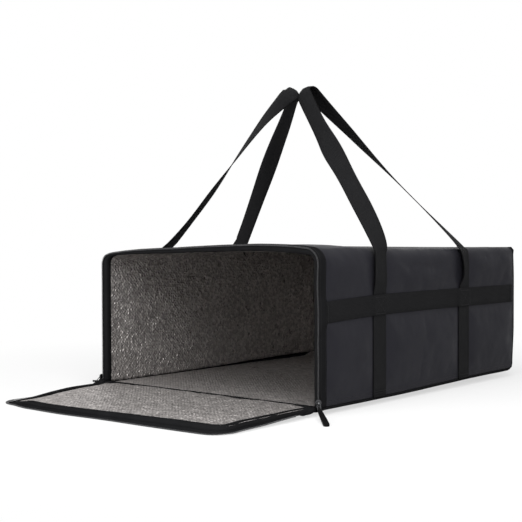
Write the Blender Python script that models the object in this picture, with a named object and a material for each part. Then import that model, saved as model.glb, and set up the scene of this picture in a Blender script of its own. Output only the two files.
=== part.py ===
# Insulated pizza delivery bag, front flap open on the floor.
# Metres, +Z up, +Y towards the rear, origin on the floor under the middle of the bag.
import math

import bmesh
import bpy
from mathutils import Matrix, Vector

# Overall size
BAG_WIDTH = 0.440
BAG_DEPTH = 0.560
BAG_HEIGHT = 0.230
TOP_CROWN_FRONT = 0.006
TOP_CROWN_REAR = 0.002
SHOULDER_RADIUS_FRONT = 0.028
SHOULDER_RADIUS_REAR = 0.010

# Layers of a wall, from outside to inside, and the gap between touching pieces
GAP = 0.0003
FABRIC = 0.001
WALL_FOAM = 0.006
BOTTOM_FOAM = 0.008
LINER = 0.0008
TAPE = 0.001

# Seams
PIPING_RADIUS = 0.0022
SEAM_HEIGHT = 0.0095
BELLY_MARGIN = 0.028
BELLY_RISE = 0.006
REAR_CORNER_RADIUS = 0.013
RIM_BINDING_WIDTH = 0.010

# Zipper
COIL_RADIUS = 0.0011
COIL_STAND = 0.0018
SLIDER_LENGTH = 0.011
SLIDER_WIDTH = 0.0084
SLIDER_WAIST = 0.72
SLIDER_PLATE = 0.0024
SLIDER_BASE = 0.0125
CROWN_WIDTH = 0.0026
CROWN_REACH = 0.0030
CROWN_LENGTH = 0.0072
CROWN_EYE_RADIUS = 0.0010
WIRE_RADIUS = 0.00062
BAIL_HALF_WIDTH = 0.0023
BAIL_LENGTH = 0.0112
BAIL_HANG = 40
RIGHT_SLIDER_HEADING = 45
LEFT_SLIDER_HEADING = 0
LEFT_TAB_HEADING = -80
TAB_LENGTH = 0.058
TAB_ROOT_WIDTH = 0.005
TAB_TIP_WIDTH = 0.007
TAB_THICKNESS = 0.0022

# Flap and its hinge
HINGE_ROLL_RADIUS = 0.0018
HINGE_HEIGHT = 0.0115
FLAP_REACH = 0.1935
FLAP_SIDE_CLEARANCE = 0.0048
FLAP_CORNER_RADIUS = 0.026
FLAP_LINER_RISE = 0.0002
FLAP_FOAM = 0.006
FLAP_BINDING_WIDTH = 0.010
SKIRT_DROP = 0.0052
SKIRT_SPREAD = 0.006
SKIRT_THICKNESS = 0.0012
SKIRT_START = 0.028

# Webbing
STRAP_WIDTH = 0.032
STRAP_THICKNESS = 0.0015
STRAP_FOOT = 0.0155
FRONT_STRAP_SETBACK = 0.147
REAR_STRAP_SETBACK = 0.389
BAND_WIDTH = 0.030
BAND_HEIGHT = 0.131
BAND_STEP = 0.003
HANDLE_AXIS_DROP = 0.0077
HANDLE_AXIS_STAND = 0.0029
HANDLE_APEX_RISE = 0.260
HANDLE_APEX_SETBACK = 0.233
HANDLE_APEX_RADIUS = 0.013
HANDLE_SPLIT = 0.0005
HANDLE_BEND = 0.034

# How finely round stretches are divided
SHOULDER_STEPS = 6
CROWN_STEPS = 6
WRAP_STEPS = 5
STRAND_STEPS = 16
APEX_STEPS = 6
BEAD_SIDES = 8
EYE_SIDES = 12
SMOOTH_ANGLE = 40

# Places that follow from the sizes above
FRONT = -BAG_DEPTH / 2
REAR = BAG_DEPTH / 2
SIDE = BAG_WIDTH / 2
FOAM_INSET = FABRIC + GAP
LINER_INSET = FOAM_INSET + WALL_FOAM + GAP
WALL = LINER_INSET + LINER
PIPING_INSET = 2 * PIPING_RADIUS + GAP
LAYERS_FRONT = FRONT + TAPE + GAP
LAYERS_REAR = REAR - PIPING_INSET
WALL_FOOT = SEAM_HEIGHT + PIPING_RADIUS + GAP
BOTTOM_FOAM_BASE = FABRIC + GAP
BOTTOM_FOAM_TOP = BOTTOM_FOAM_BASE + BOTTOM_FOAM
BOTTOM_LINER_BASE = BOTTOM_FOAM_TOP + GAP
BOTTOM_TOP = BOTTOM_LINER_BASE + LINER
HINGE_Y = FRONT - GAP - HINGE_ROLL_RADIUS
FLAP_NEAR = HINGE_ROLL_RADIUS + GAP
FLAP_TOP = HINGE_HEIGHT + FLAP_LINER_RISE
FLAP_HALF_WIDTH = SIDE - FLAP_SIDE_CLEARANCE
FLAP_LENGTH = FLAP_REACH - (FRONT - HINGE_Y)
HANDLE_AXIS_HEIGHT = BAG_HEIGHT - HANDLE_AXIS_DROP
HANDLE_APEX_HEIGHT = BAG_HEIGHT + HANDLE_APEX_RISE


def blend_along(y, at_front, at_rear):
    """A size that changes evenly from the front rim to the rear seam."""
    share = (y - FRONT) / BAG_DEPTH
    return at_front + (at_rear - at_front) * share


def arch(half_width, height, radius, crown, foot, inset=0.0):
    """Points of an arch from its right foot, over two round shoulders, to its left foot."""
    side = half_width - inset
    top = height - inset
    bend = radius - inset
    centre_u = side - bend
    centre_v = top - bend
    right = [(side, foot)]
    for i in range(SHOULDER_STEPS + 1):
        angle = math.pi / 2 * i / SHOULDER_STEPS
        right.append((centre_u + bend * math.cos(angle), centre_v + bend * math.sin(angle)))
    for i in range(1, CROWN_STEPS):
        share = i / CROWN_STEPS
        right.append((centre_u * (1 - share), top + crown * (1 - (1 - share) ** 2)))
    left = [(-u, v) for u, v in reversed(right)]
    return right + [(0.0, top + crown)] + left


def wrap_arch(y, foot, inset=0.0):
    """The wrap's section at depth y, drawn in by an inset."""
    radius = blend_along(y, SHOULDER_RADIUS_FRONT, SHOULDER_RADIUS_REAR)
    crown = blend_along(y, TOP_CROWN_FRONT, TOP_CROWN_REAR)
    return arch(SIDE, BAG_HEIGHT, radius, crown, foot, inset)


def flap_arch(foot, inset=0.0):
    """The flap's outline as places across it and distances from its hinge."""
    return arch(FLAP_HALF_WIDTH, FLAP_LENGTH, FLAP_CORNER_RADIUS, TOP_CROWN_FRONT, foot, inset)


def material(name, colour, roughness, metallic=0.0):
    """A plain Principled material."""
    made = bpy.data.materials.new(name)
    made.use_nodes = True
    shader = made.node_tree.nodes["Principled BSDF"]
    shader.inputs["Base Color"].default_value = (*colour, 1.0)
    shader.inputs["Roughness"].default_value = roughness
    shader.inputs["Metallic"].default_value = metallic
    return made


def add_object(name, data, finish):
    """Put a mesh or curve into the scene with its own material."""
    made = bpy.data.objects.new(name, data)
    bpy.context.scene.collection.objects.link(made)
    data.materials.append(finish)
    return made


def mesh_object(name, bm, finish, smooth=False):
    """Turn a bmesh into an object with its faces pointing out."""
    bmesh.ops.recalc_face_normals(bm, faces=bm.faces)
    mesh = bpy.data.meshes.new(name)
    bm.to_mesh(mesh)
    bm.free()
    if smooth:
        mesh.shade_smooth()
        mesh.set_sharp_from_angle(angle=math.radians(SMOOTH_ANGLE))
    return add_object(name, mesh, finish)


def loft(loops):
    """Extrude a closed outline through a row of outlines with as many corners."""
    bm = bmesh.new()
    face = bm.faces.new([bm.verts.new(point) for point in loops[0]])
    for i, loop in enumerate(loops[1:]):
        extruded = bmesh.ops.extrude_face_region(bm, geom=[face])["geom"]
        if i:
            bmesh.ops.delete(bm, geom=[face], context="FACES_ONLY")
        face = [item for item in extruded if isinstance(item, bmesh.types.BMFace)][0]
        for vert, point in zip(face.verts, loop):
            vert.co = point
    return bm


def box(low, high):
    """A closed box between two corners."""
    bm = bmesh.new()
    bmesh.ops.create_cube(bm, size=1.0)
    middle = (Vector(low) + Vector(high)) / 2
    size = Vector(high) - Vector(low)
    bmesh.ops.scale(bm, vec=size, verts=bm.verts)
    bmesh.ops.translate(bm, vec=middle, verts=bm.verts)
    return bm


def tube(name, points, radius, finish, closed=False):
    """A round tube along a row of points."""
    curve = bpy.data.curves.new(name, "CURVE")
    curve.dimensions = "3D"
    curve.bevel_depth = radius
    curve.bevel_resolution = 2
    curve.use_fill_caps = not closed
    spline = curve.splines.new("POLY")
    spline.points.add(len(points) - 1)
    for point, place in zip(spline.points, points):
        point.co = (*place, 1.0)
    spline.use_cyclic_u = closed
    return add_object(name, curve, finish)


def wrap_layer(name, outer, inner, front, rear, foot, finish):
    """One layer of the wrap: both sides and the top in one arched sheet."""
    loops = []
    for i in range(WRAP_STEPS + 1):
        y = front + (rear - front) * i / WRAP_STEPS
        outline = wrap_arch(y, foot, outer) + wrap_arch(y, foot, inner)[::-1]
        loops.append([(x, y, z) for x, z in outline])
    return mesh_object(name, loft(loops), finish, True)


def wrap_sweep(name, section, foot, finish):
    """A section of insets and depths carried round the arch of the front rim."""
    rows = [wrap_arch(FRONT, foot, inset) for inset, _ in section]
    loops = []
    for i in range(len(rows[0])):
        loops.append([(row[i][0], y, row[i][1]) for row, (_, y) in zip(rows, section)])
    return mesh_object(name, loft(loops), finish, True)


def flap_sweep(name, section, foot, finish):
    """A section of insets and heights carried round the three free edges of the flap."""
    rows = [flap_arch(foot, inset) for inset, _ in section]
    loops = []
    for i in range(len(rows[0])):
        loops.append([(row[i][0], HINGE_Y - row[i][1], z) for row, (_, z) in zip(rows, section)])
    return mesh_object(name, loft(loops), finish, True)


def rear_outline(inset):
    """The rear end's closed outline, drawn in by an inset, with round lower corners."""
    bend = REAR_CORNER_RADIUS + PIPING_RADIUS - inset
    floor = SEAM_HEIGHT - PIPING_RADIUS + inset
    centre = SIDE - inset - bend
    points = wrap_arch(REAR, floor + bend, inset)
    for side, start in ((-1, math.pi), (1, 1.5 * math.pi)):
        for i in range(SHOULDER_STEPS + 1):
            if (side, i) in ((-1, 0), (1, SHOULDER_STEPS)):
                continue
            angle = start + math.pi / 2 * i / SHOULDER_STEPS
            points.append((side * centre + bend * math.cos(angle), floor + bend + bend * math.sin(angle)))
    return points


def upright_plate(name, outline, front, rear, finish):
    """A plate across the bag with a given outline."""
    loops = [[(x, y, z) for x, z in outline] for y in (front, rear)]
    return mesh_object(name, loft(loops), finish, True)


def flap_plate(name, low, high, finish):
    """One flat layer of the flap."""
    outline = flap_arch(FLAP_NEAR)
    loops = [[(x, HINGE_Y - v, z) for x, v in outline] for z in (low, high)]
    return mesh_object(name, loft(loops), finish, True)


def round_section(inset, height, radius):
    """Corners of a round bead about a place in a section."""
    corners = []
    for i in range(BEAD_SIDES):
        angle = math.pi * (2 * i + 1) / BEAD_SIDES
        corners.append((inset + radius * math.cos(angle), height + radius * math.sin(angle)))
    return corners


def build_outer_shell(fabric, trim):
    """The black coated fabric: one wrap, a rear panel, a bottom panel and their piping."""
    wrap_layer("outer_wrap", 0.0, FABRIC, LAYERS_FRONT, LAYERS_REAR, WALL_FOOT, fabric)
    upright_plate("outer_rear_panel", rear_outline(PIPING_INSET), REAR - FABRIC, REAR, fabric)
    half = SIDE - PIPING_INSET
    low = [(half - BELLY_MARGIN, LAYERS_FRONT), (half - BELLY_MARGIN, LAYERS_REAR - BELLY_MARGIN)]
    high = [(half, LAYERS_FRONT), (half, LAYERS_REAR)]
    mesh_object("outer_bottom_panel", belly(low, high, 0.0, FABRIC), fabric)
    run = (LAYERS_FRONT, REAR - PIPING_INSET - PIPING_RADIUS)
    for name, side in (("right_piping", 1), ("left_piping", -1)):
        x = side * (SIDE - PIPING_RADIUS)
        tube(name, [(x, y, SEAM_HEIGHT) for y in run], PIPING_RADIUS, trim)
    seam = [(x, REAR - PIPING_RADIUS, z) for x, z in rear_outline(PIPING_RADIUS)]
    tube("rear_piping", seam, PIPING_RADIUS, trim, closed=True)


def belly(low, high, base, thickness, flat_top=None):
    """A tray whose sides and rear rise to the seam, made solid upwards."""
    bm = bmesh.new()
    inner = [(-low[0][0], low[0][1]), low[0], low[1], (-low[1][0], low[1][1])]
    outer = [(-high[0][0], high[0][1]), high[0], high[1], (-high[1][0], high[1][1])]
    flat = [bm.verts.new((x, y, base)) for x, y in inner]
    rim = [bm.verts.new((x, y, base + BELLY_RISE)) for x, y in outer]
    faces = [bm.faces.new(flat)]
    for i in (1, 2, 3):
        j = (i + 1) % 4
        faces.append(bm.faces.new((flat[i], rim[i], rim[j], flat[j])))
    raised = bmesh.ops.extrude_face_region(bm, geom=faces)["geom"]
    for vert in [item for item in raised if isinstance(item, bmesh.types.BMVert)]:
        vert.co.z = flat_top if flat_top is not None else vert.co.z + thickness
    return bm


def build_padding(foam):
    """Foam sheets between the outer fabric and the liner, one to each wall."""
    foam_rear = REAR - FOAM_INSET
    side_rear = foam_rear - WALL_FOAM - GAP
    inner = FOAM_INSET + WALL_FOAM
    shoulder = BAG_HEIGHT - SHOULDER_RADIUS_FRONT
    for name, side in (("foam_right", 1), ("foam_left", -1)):
        near = side * (SIDE - FOAM_INSET)
        far = side * (SIDE - inner)
        low = (min(near, far), LAYERS_FRONT, WALL_FOOT)
        high = (max(near, far), side_rear, shoulder - GAP)
        mesh_object(name, box(low, high), foam)
    wrap_layer("foam_top", FOAM_INSET, inner, LAYERS_FRONT, side_rear, shoulder, foam)
    upright_plate("foam_rear", rear_outline(PIPING_INSET), foam_rear - WALL_FOAM, foam_rear, foam)
    half = SIDE - PIPING_INSET
    low = [(half - BELLY_MARGIN, LAYERS_FRONT), (half - BELLY_MARGIN, LAYERS_REAR - BELLY_MARGIN)]
    high = [(half, LAYERS_FRONT), (half, LAYERS_REAR)]
    bm = belly(low, high, BOTTOM_FOAM_BASE, 0.0, BOTTOM_FOAM_TOP)
    mesh_object("foam_bottom", bm, foam)


def build_liner(foil):
    """The silver liner that shows inside the bag."""
    rear = REAR - LINER_INSET
    foot = BOTTOM_TOP + GAP
    wrap_layer("liner_wrap", LINER_INSET, WALL, LAYERS_FRONT, rear, foot, foil)
    upright_plate("liner_rear", wrap_arch(REAR, foot, WALL + GAP), rear - LINER, rear, foil)
    half = SIDE - PIPING_INSET
    low = (-half, LAYERS_FRONT, BOTTOM_LINER_BASE)
    high = (half, LAYERS_REAR, BOTTOM_TOP)
    mesh_object("liner_bottom", box(low, high), foil)


def build_rim(trim, coil):
    """The bound front rim with its zipper coil, and the roll that the flap turns on."""
    outer = -GAP - TAPE
    inner = WALL + GAP + TAPE
    back = FRONT + RIM_BINDING_WIDTH
    section = [
        (outer, FRONT), (inner, FRONT), (inner, back), (inner - TAPE, back),
        (inner - TAPE, FRONT + TAPE), (outer + TAPE, FRONT + TAPE), (outer + TAPE, back), (outer, back),
    ]
    wrap_sweep("rim_binding", section, WALL_FOOT, trim)
    section = round_section(0.0, FRONT - COIL_STAND, COIL_RADIUS)
    wrap_sweep("bag_zipper_coil", section, WALL_FOOT, coil)
    half = SIDE - inner - GAP
    lip = BOTTOM_TOP + GAP
    outline = [
        (FRONT, BELLY_RISE), (FRONT, lip + TAPE), (back, lip + TAPE),
        (back, lip), (FRONT + TAPE, lip), (FRONT + TAPE, BELLY_RISE),
    ]
    loops = [[(x, y, z) for y, z in outline] for x in (-half, half)]
    mesh_object("bottom_front_binding", loft(loops), trim)
    points = [(-half, HINGE_Y, HINGE_HEIGHT), (half, HINGE_Y, HINGE_HEIGHT)]
    tube("hinge_roll", points, HINGE_ROLL_RADIUS, trim)


def set_origin(made, place):
    """Move an object's origin to a place without moving its shape."""
    made.data.transform(Matrix.Translation(-Vector(place)))
    made.location = place


def build_flap(fabric, foam, foil, trim, coil):
    """The padded front flap: three layers, the bound edge, the zipper tape and its coil."""
    foam_top = FLAP_TOP - LINER - GAP
    fabric_top = foam_top - FLAP_FOAM - GAP
    base = fabric_top - FABRIC
    pieces = [
        flap_plate("flap_liner", FLAP_TOP - LINER, FLAP_TOP, foil),
        flap_plate("flap_foam", foam_top - FLAP_FOAM, foam_top, foam),
        flap_plate("flap_outer_panel", base, fabric_top, fabric),
    ]
    outer = -GAP - TAPE
    top = FLAP_TOP + GAP + TAPE
    low = base - GAP - TAPE
    section = [
        (outer, low), (outer, top), (FLAP_BINDING_WIDTH, top), (FLAP_BINDING_WIDTH, top - TAPE),
        (outer + TAPE, top - TAPE), (outer + TAPE, low + TAPE), (FLAP_BINDING_WIDTH, low + TAPE),
        (FLAP_BINDING_WIDTH, low),
    ]
    pieces.append(flap_sweep("flap_binding", section, FLAP_NEAR, trim))
    root = outer - GAP
    toe = root - SKIRT_SPREAD
    head = HINGE_HEIGHT - SKIRT_DROP
    section = [
        (root, head), (root - SKIRT_THICKNESS, head), (toe, GAP + SKIRT_THICKNESS), (toe, GAP),
        (toe + SKIRT_THICKNESS, GAP), (root, head - SKIRT_THICKNESS),
    ]
    pieces.append(flap_sweep("flap_zipper_tape", section, SKIRT_START, trim))
    section = round_section(toe - GAP - COIL_RADIUS, GAP + COIL_RADIUS, COIL_RADIUS)
    pieces.append(flap_sweep("flap_zipper_coil", section, SKIRT_START, coil))
    for piece in pieces:
        set_origin(piece, (0.0, HINGE_Y, HINGE_HEIGHT))


def slider_frame(side, heading):
    """Where a slider stands: across it, out of it and up, from the middle of the coil."""
    angle = math.radians(heading)
    out = Vector((side * math.cos(angle), -math.sin(angle), 0.0))
    up = Vector((0.0, 0.0, 1.0))
    across = out.cross(up)
    frame = Matrix((across, out, up)).transposed().to_4x4()
    frame.translation = Vector((side * SIDE, FRONT - COIL_STAND, SLIDER_BASE))
    return frame


def build_slider(prefix, side, heading, tab_heading, metal, rubber):
    """A slider plate with its crown, the wire bail through the crown and the pull tab."""
    frame = slider_frame(side, heading)
    near = COIL_STAND
    face = near + SLIDER_PLATE
    half = SLIDER_WIDTH / 2
    waist = half * SLIDER_WAIST
    outline = [
        (-waist, 0.0), (waist, 0.0), (half, SLIDER_LENGTH / 2),
        (waist, SLIDER_LENGTH), (-waist, SLIDER_LENGTH), (-half, SLIDER_LENGTH / 2),
    ]
    loops = [[(u, v, w) for u, w in outline] for v in (near, face)]
    plate = mesh_object(prefix + "_slider", loft(loops), metal)
    middle = SLIDER_LENGTH / 2
    crown_low = middle - CROWN_LENGTH / 2
    crown_high = middle + CROWN_LENGTH / 2
    crown_bevel = CROWN_REACH / 2
    outline = [
        (near + SLIDER_PLATE / 2, crown_low), (face, crown_low),
        (face + CROWN_REACH, crown_low + crown_bevel), (face + CROWN_REACH, crown_high - crown_bevel),
        (face, crown_high), (near + SLIDER_PLATE / 2, crown_high),
    ]
    loops = [[(u, v, w) for v, w in outline] for u in (-CROWN_WIDTH / 2, CROWN_WIDTH / 2)]
    crown = mesh_object(prefix + "_crown_cutter", loft(loops), metal)
    eye_v = face + CROWN_REACH - CROWN_EYE_RADIUS - WIRE_RADIUS
    bm = bmesh.new()
    lying = Matrix.Translation((0.0, eye_v, middle)) @ Matrix.Rotation(math.pi / 2, 4, "Y")
    bmesh.ops.create_cone(
        bm, cap_ends=True, segments=EYE_SIDES, radius1=CROWN_EYE_RADIUS, radius2=CROWN_EYE_RADIUS,
        depth=2 * SLIDER_WIDTH, matrix=lying,
    )
    eye = mesh_object(prefix + "_eye_cutter", bm, metal)
    for cutter, operation in ((crown, "UNION"), (eye, "DIFFERENCE")):
        cutter.hide_render = True
        cutter.display_type = "WIRE"
        step = plate.modifiers.new(operation.lower(), "BOOLEAN")
        step.operation = operation
        step.object = cutter
    for piece in (plate, crown, eye):
        piece.matrix_world = frame

    pivot = Vector((0.0, eye_v, middle))
    hang = math.radians(BAIL_HANG)
    reach = Vector((0.0, math.cos(hang), -math.sin(hang))) * BAIL_LENGTH
    wide = Vector((BAIL_HALF_WIDTH, 0.0, 0.0))
    nose = WIRE_RADIUS * 2
    inward = Vector((nose, 0.0, 0.0))
    along = reach.normalized() * nose
    corners = [
        pivot - wide + inward, pivot + wide - inward, pivot + wide + along,
        pivot + wide + reach - along, pivot + wide + reach - inward, pivot - wide + reach + inward,
        pivot - wide + reach - along, pivot - wide + along,
    ]
    bail = tube(prefix + "_pull_bail", [corner - pivot for corner in corners], WIRE_RADIUS, metal, closed=True)
    bail.matrix_world = frame @ Matrix.Translation(pivot)

    swing = math.radians(tab_heading)
    end = pivot + reach
    tip_height = TAB_THICKNESS / 2 + GAP
    dip = math.asin((SLIDER_BASE + end.z - tip_height) / TAB_LENGTH)
    clear = WIRE_RADIUS + GAP
    start = end + Vector((0.0, clear, 0.0))
    if tab_heading:
        start += Vector((-BAIL_HALF_WIDTH, TAB_ROOT_WIDTH / 2, 0.0))
    tab = mesh_object(prefix + "_pull_tab", tab_mesh(), rubber, True)
    turn = Matrix.Rotation(swing, 4, "Z") @ Matrix.Rotation(-dip, 4, "X")
    placed = Matrix.Translation(start - pivot) @ turn
    tab.data.transform(placed)
    tab.matrix_world = frame @ Matrix.Translation(pivot)


def tab_mesh():
    """A flat tab that widens to a round tip, lying along +Y from its root."""
    root = TAB_ROOT_WIDTH / 2
    tip = TAB_TIP_WIDTH / 2
    outline = [(-root, 0.0), (root, 0.0)]
    for i in range(SHOULDER_STEPS * 2 + 1):
        angle = math.pi * i / (SHOULDER_STEPS * 2)
        outline.append((tip * math.cos(angle), TAB_LENGTH - tip + tip * math.sin(angle)))
    half = TAB_THICKNESS / 2
    return loft([[(x, y, z) for x, y in outline] for z in (-half, half)])


def strap_places():
    """The depth of the middle of each upright strap."""
    return (("front", FRONT + FRONT_STRAP_SETBACK), ("rear", FRONT + REAR_STRAP_SETBACK))


def build_webbing(side_name, side, web):
    """The upright straps sewn to a side and the level band that crosses over them."""
    near = SIDE + GAP
    far = near + STRAP_THICKNESS
    top = HANDLE_AXIS_HEIGHT + GAP
    for place, y in strap_places():
        xs = sorted((side * near, side * far))
        low = (xs[0], y - STRAP_WIDTH / 2, STRAP_FOOT)
        high = (xs[1], y + STRAP_WIDTH / 2, top)
        mesh_object(f"{side_name}_{place}_strap", box(low, high), web)
    start = FRONT + RIM_BINDING_WIDTH + GAP
    end = LAYERS_REAR
    line = [(start, near)]
    for _, y in strap_places():
        edge = STRAP_WIDTH / 2 + GAP
        lift = far + GAP
        line += [(y - edge - BAND_STEP, near), (y - edge, lift), (y + edge, lift), (y + edge + BAND_STEP, near)]
    line.append((end, near))
    back = [(y, x + STRAP_THICKNESS) for y, x in reversed(line)]
    outline = [(side * x, y) for y, x in line + back]
    loops = [[(x, y, z) for x, y in outline] for z in (BAND_HEIGHT, BAND_HEIGHT + BAND_WIDTH)]
    mesh_object(f"{side_name}_side_band", loft(loops), web)


def bezier(points, share):
    """A place on a smooth curve drawn by four points."""
    rest = 1 - share
    weights = (rest ** 3, 3 * rest ** 2 * share, 3 * rest * share ** 2, share ** 3)
    place = Vector((0.0, 0.0, 0.0))
    for weight, point in zip(weights, points):
        place += weight * point
    return place


def handle_line(side):
    """Places along a handle, each with its share of the twist from the side to the apex."""
    apex = Vector((side * (HANDLE_SPLIT + STRAP_WIDTH / 2), FRONT + HANDLE_APEX_SETBACK, HANDLE_APEX_HEIGHT))
    centre = apex - Vector((0.0, 0.0, HANDLE_APEX_RADIUS))
    stand = Vector((side * (SIDE + HANDLE_AXIS_STAND), 0.0, HANDLE_AXIS_HEIGHT + GAP))
    up = Vector((0.0, 0.0, 1.0))
    rows = []
    for (_, y), way in zip(strap_places(), (-1, 1)):
        foot = stand + Vector((0.0, y, 0.0))
        shoulder = centre + Vector((0.0, way * HANDLE_APEX_RADIUS, 0.0))
        reach = (shoulder - foot).length
        slope = (shoulder - foot).normalized()
        points = (foot, foot + up * HANDLE_BEND, shoulder - slope * (reach / 3), shoulder)
        strand = [(bezier(points, i / STRAND_STEPS), i / STRAND_STEPS) for i in range(STRAND_STEPS)]
        rows.append(strand)
    crest = []
    for i in range(APEX_STEPS + 1):
        angle = math.pi * i / APEX_STEPS
        rise = Vector((0.0, -math.cos(angle), math.sin(angle))) * HANDLE_APEX_RADIUS
        crest.append((centre + rise, 1.0))
    return rows[0] + crest + rows[1][::-1]


def build_handle(name, side, web):
    """A carrying handle: one loop of webbing that twists a quarter turn up each strand."""
    line = handle_line(side)
    loops = []
    for i, (place, twist) in enumerate(line):
        before = line[max(i - 1, 0)][0]
        after = line[min(i + 1, len(line) - 1)][0]
        along = (after - before).normalized()
        if i in (0, len(line) - 1):
            along = Vector((0.0, 0.0, 1.0 if i == 0 else -1.0))
        way = 1 if i < len(line) / 2 else -1
        angle = math.pi / 2 * twist
        wide = Vector((side * math.sin(angle), way * math.cos(angle), 0.0))
        wide = (wide - along * wide.dot(along)).normalized()
        thick = along.cross(wide)
        a = wide * (STRAP_WIDTH / 2)
        b = thick * (STRAP_THICKNESS / 2)
        loops.append([place - a - b, place + a - b, place + a + b, place - a + b])
    handle = mesh_object(name, loft(loops), web, True)
    set_origin(handle, (side * (SIDE + HANDLE_AXIS_STAND), 0.0, HANDLE_AXIS_HEIGHT))


def build():
    """Make every piece of the bag."""
    for old in list(bpy.data.objects):
        bpy.data.objects.remove(old, do_unlink=True)
    fabric = material("outer_fabric", (0.026, 0.026, 0.031), 0.62)
    trim = material("binding", (0.008, 0.008, 0.009), 0.75)
    web = material("webbing", (0.012, 0.012, 0.013), 0.85)
    foam = material("foam", (0.75, 0.75, 0.72), 0.9)
    foil = material("foil_liner", (0.42, 0.40, 0.39), 0.35, 0.8)
    coil = material("zipper_coil", (0.18, 0.18, 0.19), 0.4)
    metal = material("slider_metal", (0.05, 0.05, 0.055), 0.3, 0.9)
    rubber = material("pull_rubber", (0.012, 0.012, 0.012), 0.6)

    build_outer_shell(fabric, trim)
    build_padding(foam)
    build_liner(foil)
    build_rim(trim, coil)
    build_flap(fabric, foam, foil, trim, coil)
    build_slider("right", 1, RIGHT_SLIDER_HEADING, 0, metal, rubber)
    build_slider("left", -1, LEFT_SLIDER_HEADING, LEFT_TAB_HEADING, metal, rubber)
    for side_name, side in (("right", 1), ("left", -1)):
        build_webbing(side_name, side, web)
        build_handle(f"{side_name}_handle", side, web)


build()
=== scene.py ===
import math

import bmesh
import bpy
import numpy as np
from mathutils import Matrix, Vector, noise


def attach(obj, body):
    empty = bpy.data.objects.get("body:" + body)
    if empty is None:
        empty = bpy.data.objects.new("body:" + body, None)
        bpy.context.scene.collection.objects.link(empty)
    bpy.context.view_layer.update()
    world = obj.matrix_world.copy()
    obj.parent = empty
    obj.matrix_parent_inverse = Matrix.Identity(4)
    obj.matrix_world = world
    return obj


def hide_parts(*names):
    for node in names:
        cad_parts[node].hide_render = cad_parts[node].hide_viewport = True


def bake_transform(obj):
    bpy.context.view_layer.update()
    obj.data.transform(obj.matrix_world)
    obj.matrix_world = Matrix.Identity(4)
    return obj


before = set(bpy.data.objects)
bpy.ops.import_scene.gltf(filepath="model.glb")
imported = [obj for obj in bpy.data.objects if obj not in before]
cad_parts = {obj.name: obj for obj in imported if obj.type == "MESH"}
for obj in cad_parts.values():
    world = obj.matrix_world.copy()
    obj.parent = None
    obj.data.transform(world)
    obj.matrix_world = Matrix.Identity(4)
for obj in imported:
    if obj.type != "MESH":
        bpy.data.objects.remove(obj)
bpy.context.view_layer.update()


# The outer cover: one length of black coated polyester that goes up one side, over the
# top and down the other. Foam lies behind it, so it puffs out between the rows of
# stitches that hold it: the front margin, the rear and bottom seams, straps and bands.
FRONT = -0.280
DEPTH = 0.560
BAG_HALF = 0.220
BAG_TOP = 0.230
WRAP_FOOT = 0.0142
WRAP_FRONT = -0.2787
WRAP_REAR = 0.2755
STRAP_PLACES = (-0.1342, 0.1094)
STRAP_WIDTH = 0.0332
BAND_LOW, BAND_HIGH = 0.131, 0.161
MARGIN_REAR = -0.2645


def new_object(name, mesh):
    """Put a mesh into the scene as a piece of its own."""
    piece = bpy.data.objects.new(name, mesh)
    bpy.context.scene.collection.objects.link(piece)
    return piece


def from_bmesh(name, bm):
    """Make a smooth shaded piece from a finished bmesh."""
    mesh = bpy.data.meshes.new(name)
    bm.to_mesh(mesh)
    bm.free()
    mesh.shade_smooth()
    return new_object(name, mesh)


def cloth_grid(name, steps_across, steps_along, place, size):
    """A sheet of cloth as a grid of quads; place(u, v) puts each corner, and size scales its UV map."""
    bm = bmesh.new()
    bmesh.ops.create_grid(bm, x_segments=steps_across, y_segments=steps_along, size=0.5)
    laid = bm.loops.layers.uv.new("UVMap")
    for face in bm.faces:
        for loop in face.loops:
            loop[laid].uv = ((loop.vert.co.x + 0.5) * size[0], (loop.vert.co.y + 0.5) * size[1])
    for vert in bm.verts:
        vert.co = place(vert.co.x + 0.5, vert.co.y + 0.5)
    return from_bmesh(name, bm)


def clamp(value):
    """The value, kept from 0 to 1."""
    return min(1.0, max(0.0, value))


def ease(value):
    """A smooth step from 0 to 1."""
    value = clamp(value)
    return value * value * (3 - 2 * value)


DROOP_PLACES = (-0.22, -0.21, -0.196, -0.167, -0.137, -0.10, -0.06, -0.011, 0.055, 0.104, 0.152, 0.18, 0.206, 0.22)
DROOP_HEIGHTS = (-10.2, -10.0, -9.0, -7.8, -7.1, -6.9, -6.7, -4.9, -1.9, 0.6, 1.8, 1.9, 0.8, -1.5)


def slump(point, inset=0.0):
    """Where a place of the sewn bag lies once it has settled: its top sinks, its rear bows out and its foot bulges.
    The inset is how far inside the cover that place is."""
    x, y, z = point
    high = clamp((z - 0.200) / 0.030)
    front = 1 - ease((y - FRONT) / 0.22)
    droop = 0.001 * float(np.interp(x, DROOP_PLACES, DROOP_HEIGHTS)) * front * high ** 2
    sag = -0.0040 * ease((y + 0.20) / 0.22) * high
    bow = ease((y - 0.20) / 0.08) * (0.0022 + 0.0046 * ease((z - 0.02) / 0.07) * (1 - 0.6 * ease((z - 0.17) / 0.06)))
    foot = (0.0038 * ease((y + 0.12) / 0.32) - 0.0025) * ease(z / 0.009) * (1 - ease((z - 0.014) / 0.05))
    y, z = y + bow, z + droop + sag + foot
    corner, round_size = (0.2627, 0.0289), 0.0195 - inset
    over_y, under_z = y - corner[0], corner[1] - z
    if over_y > 0 and under_z > 0 and math.hypot(over_y, under_z) > round_size:
        shrink = round_size / math.hypot(over_y, under_z)
        y, z = corner[0] + over_y * shrink, corner[1] - under_z * shrink
    return Vector((x, y, z))


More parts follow.
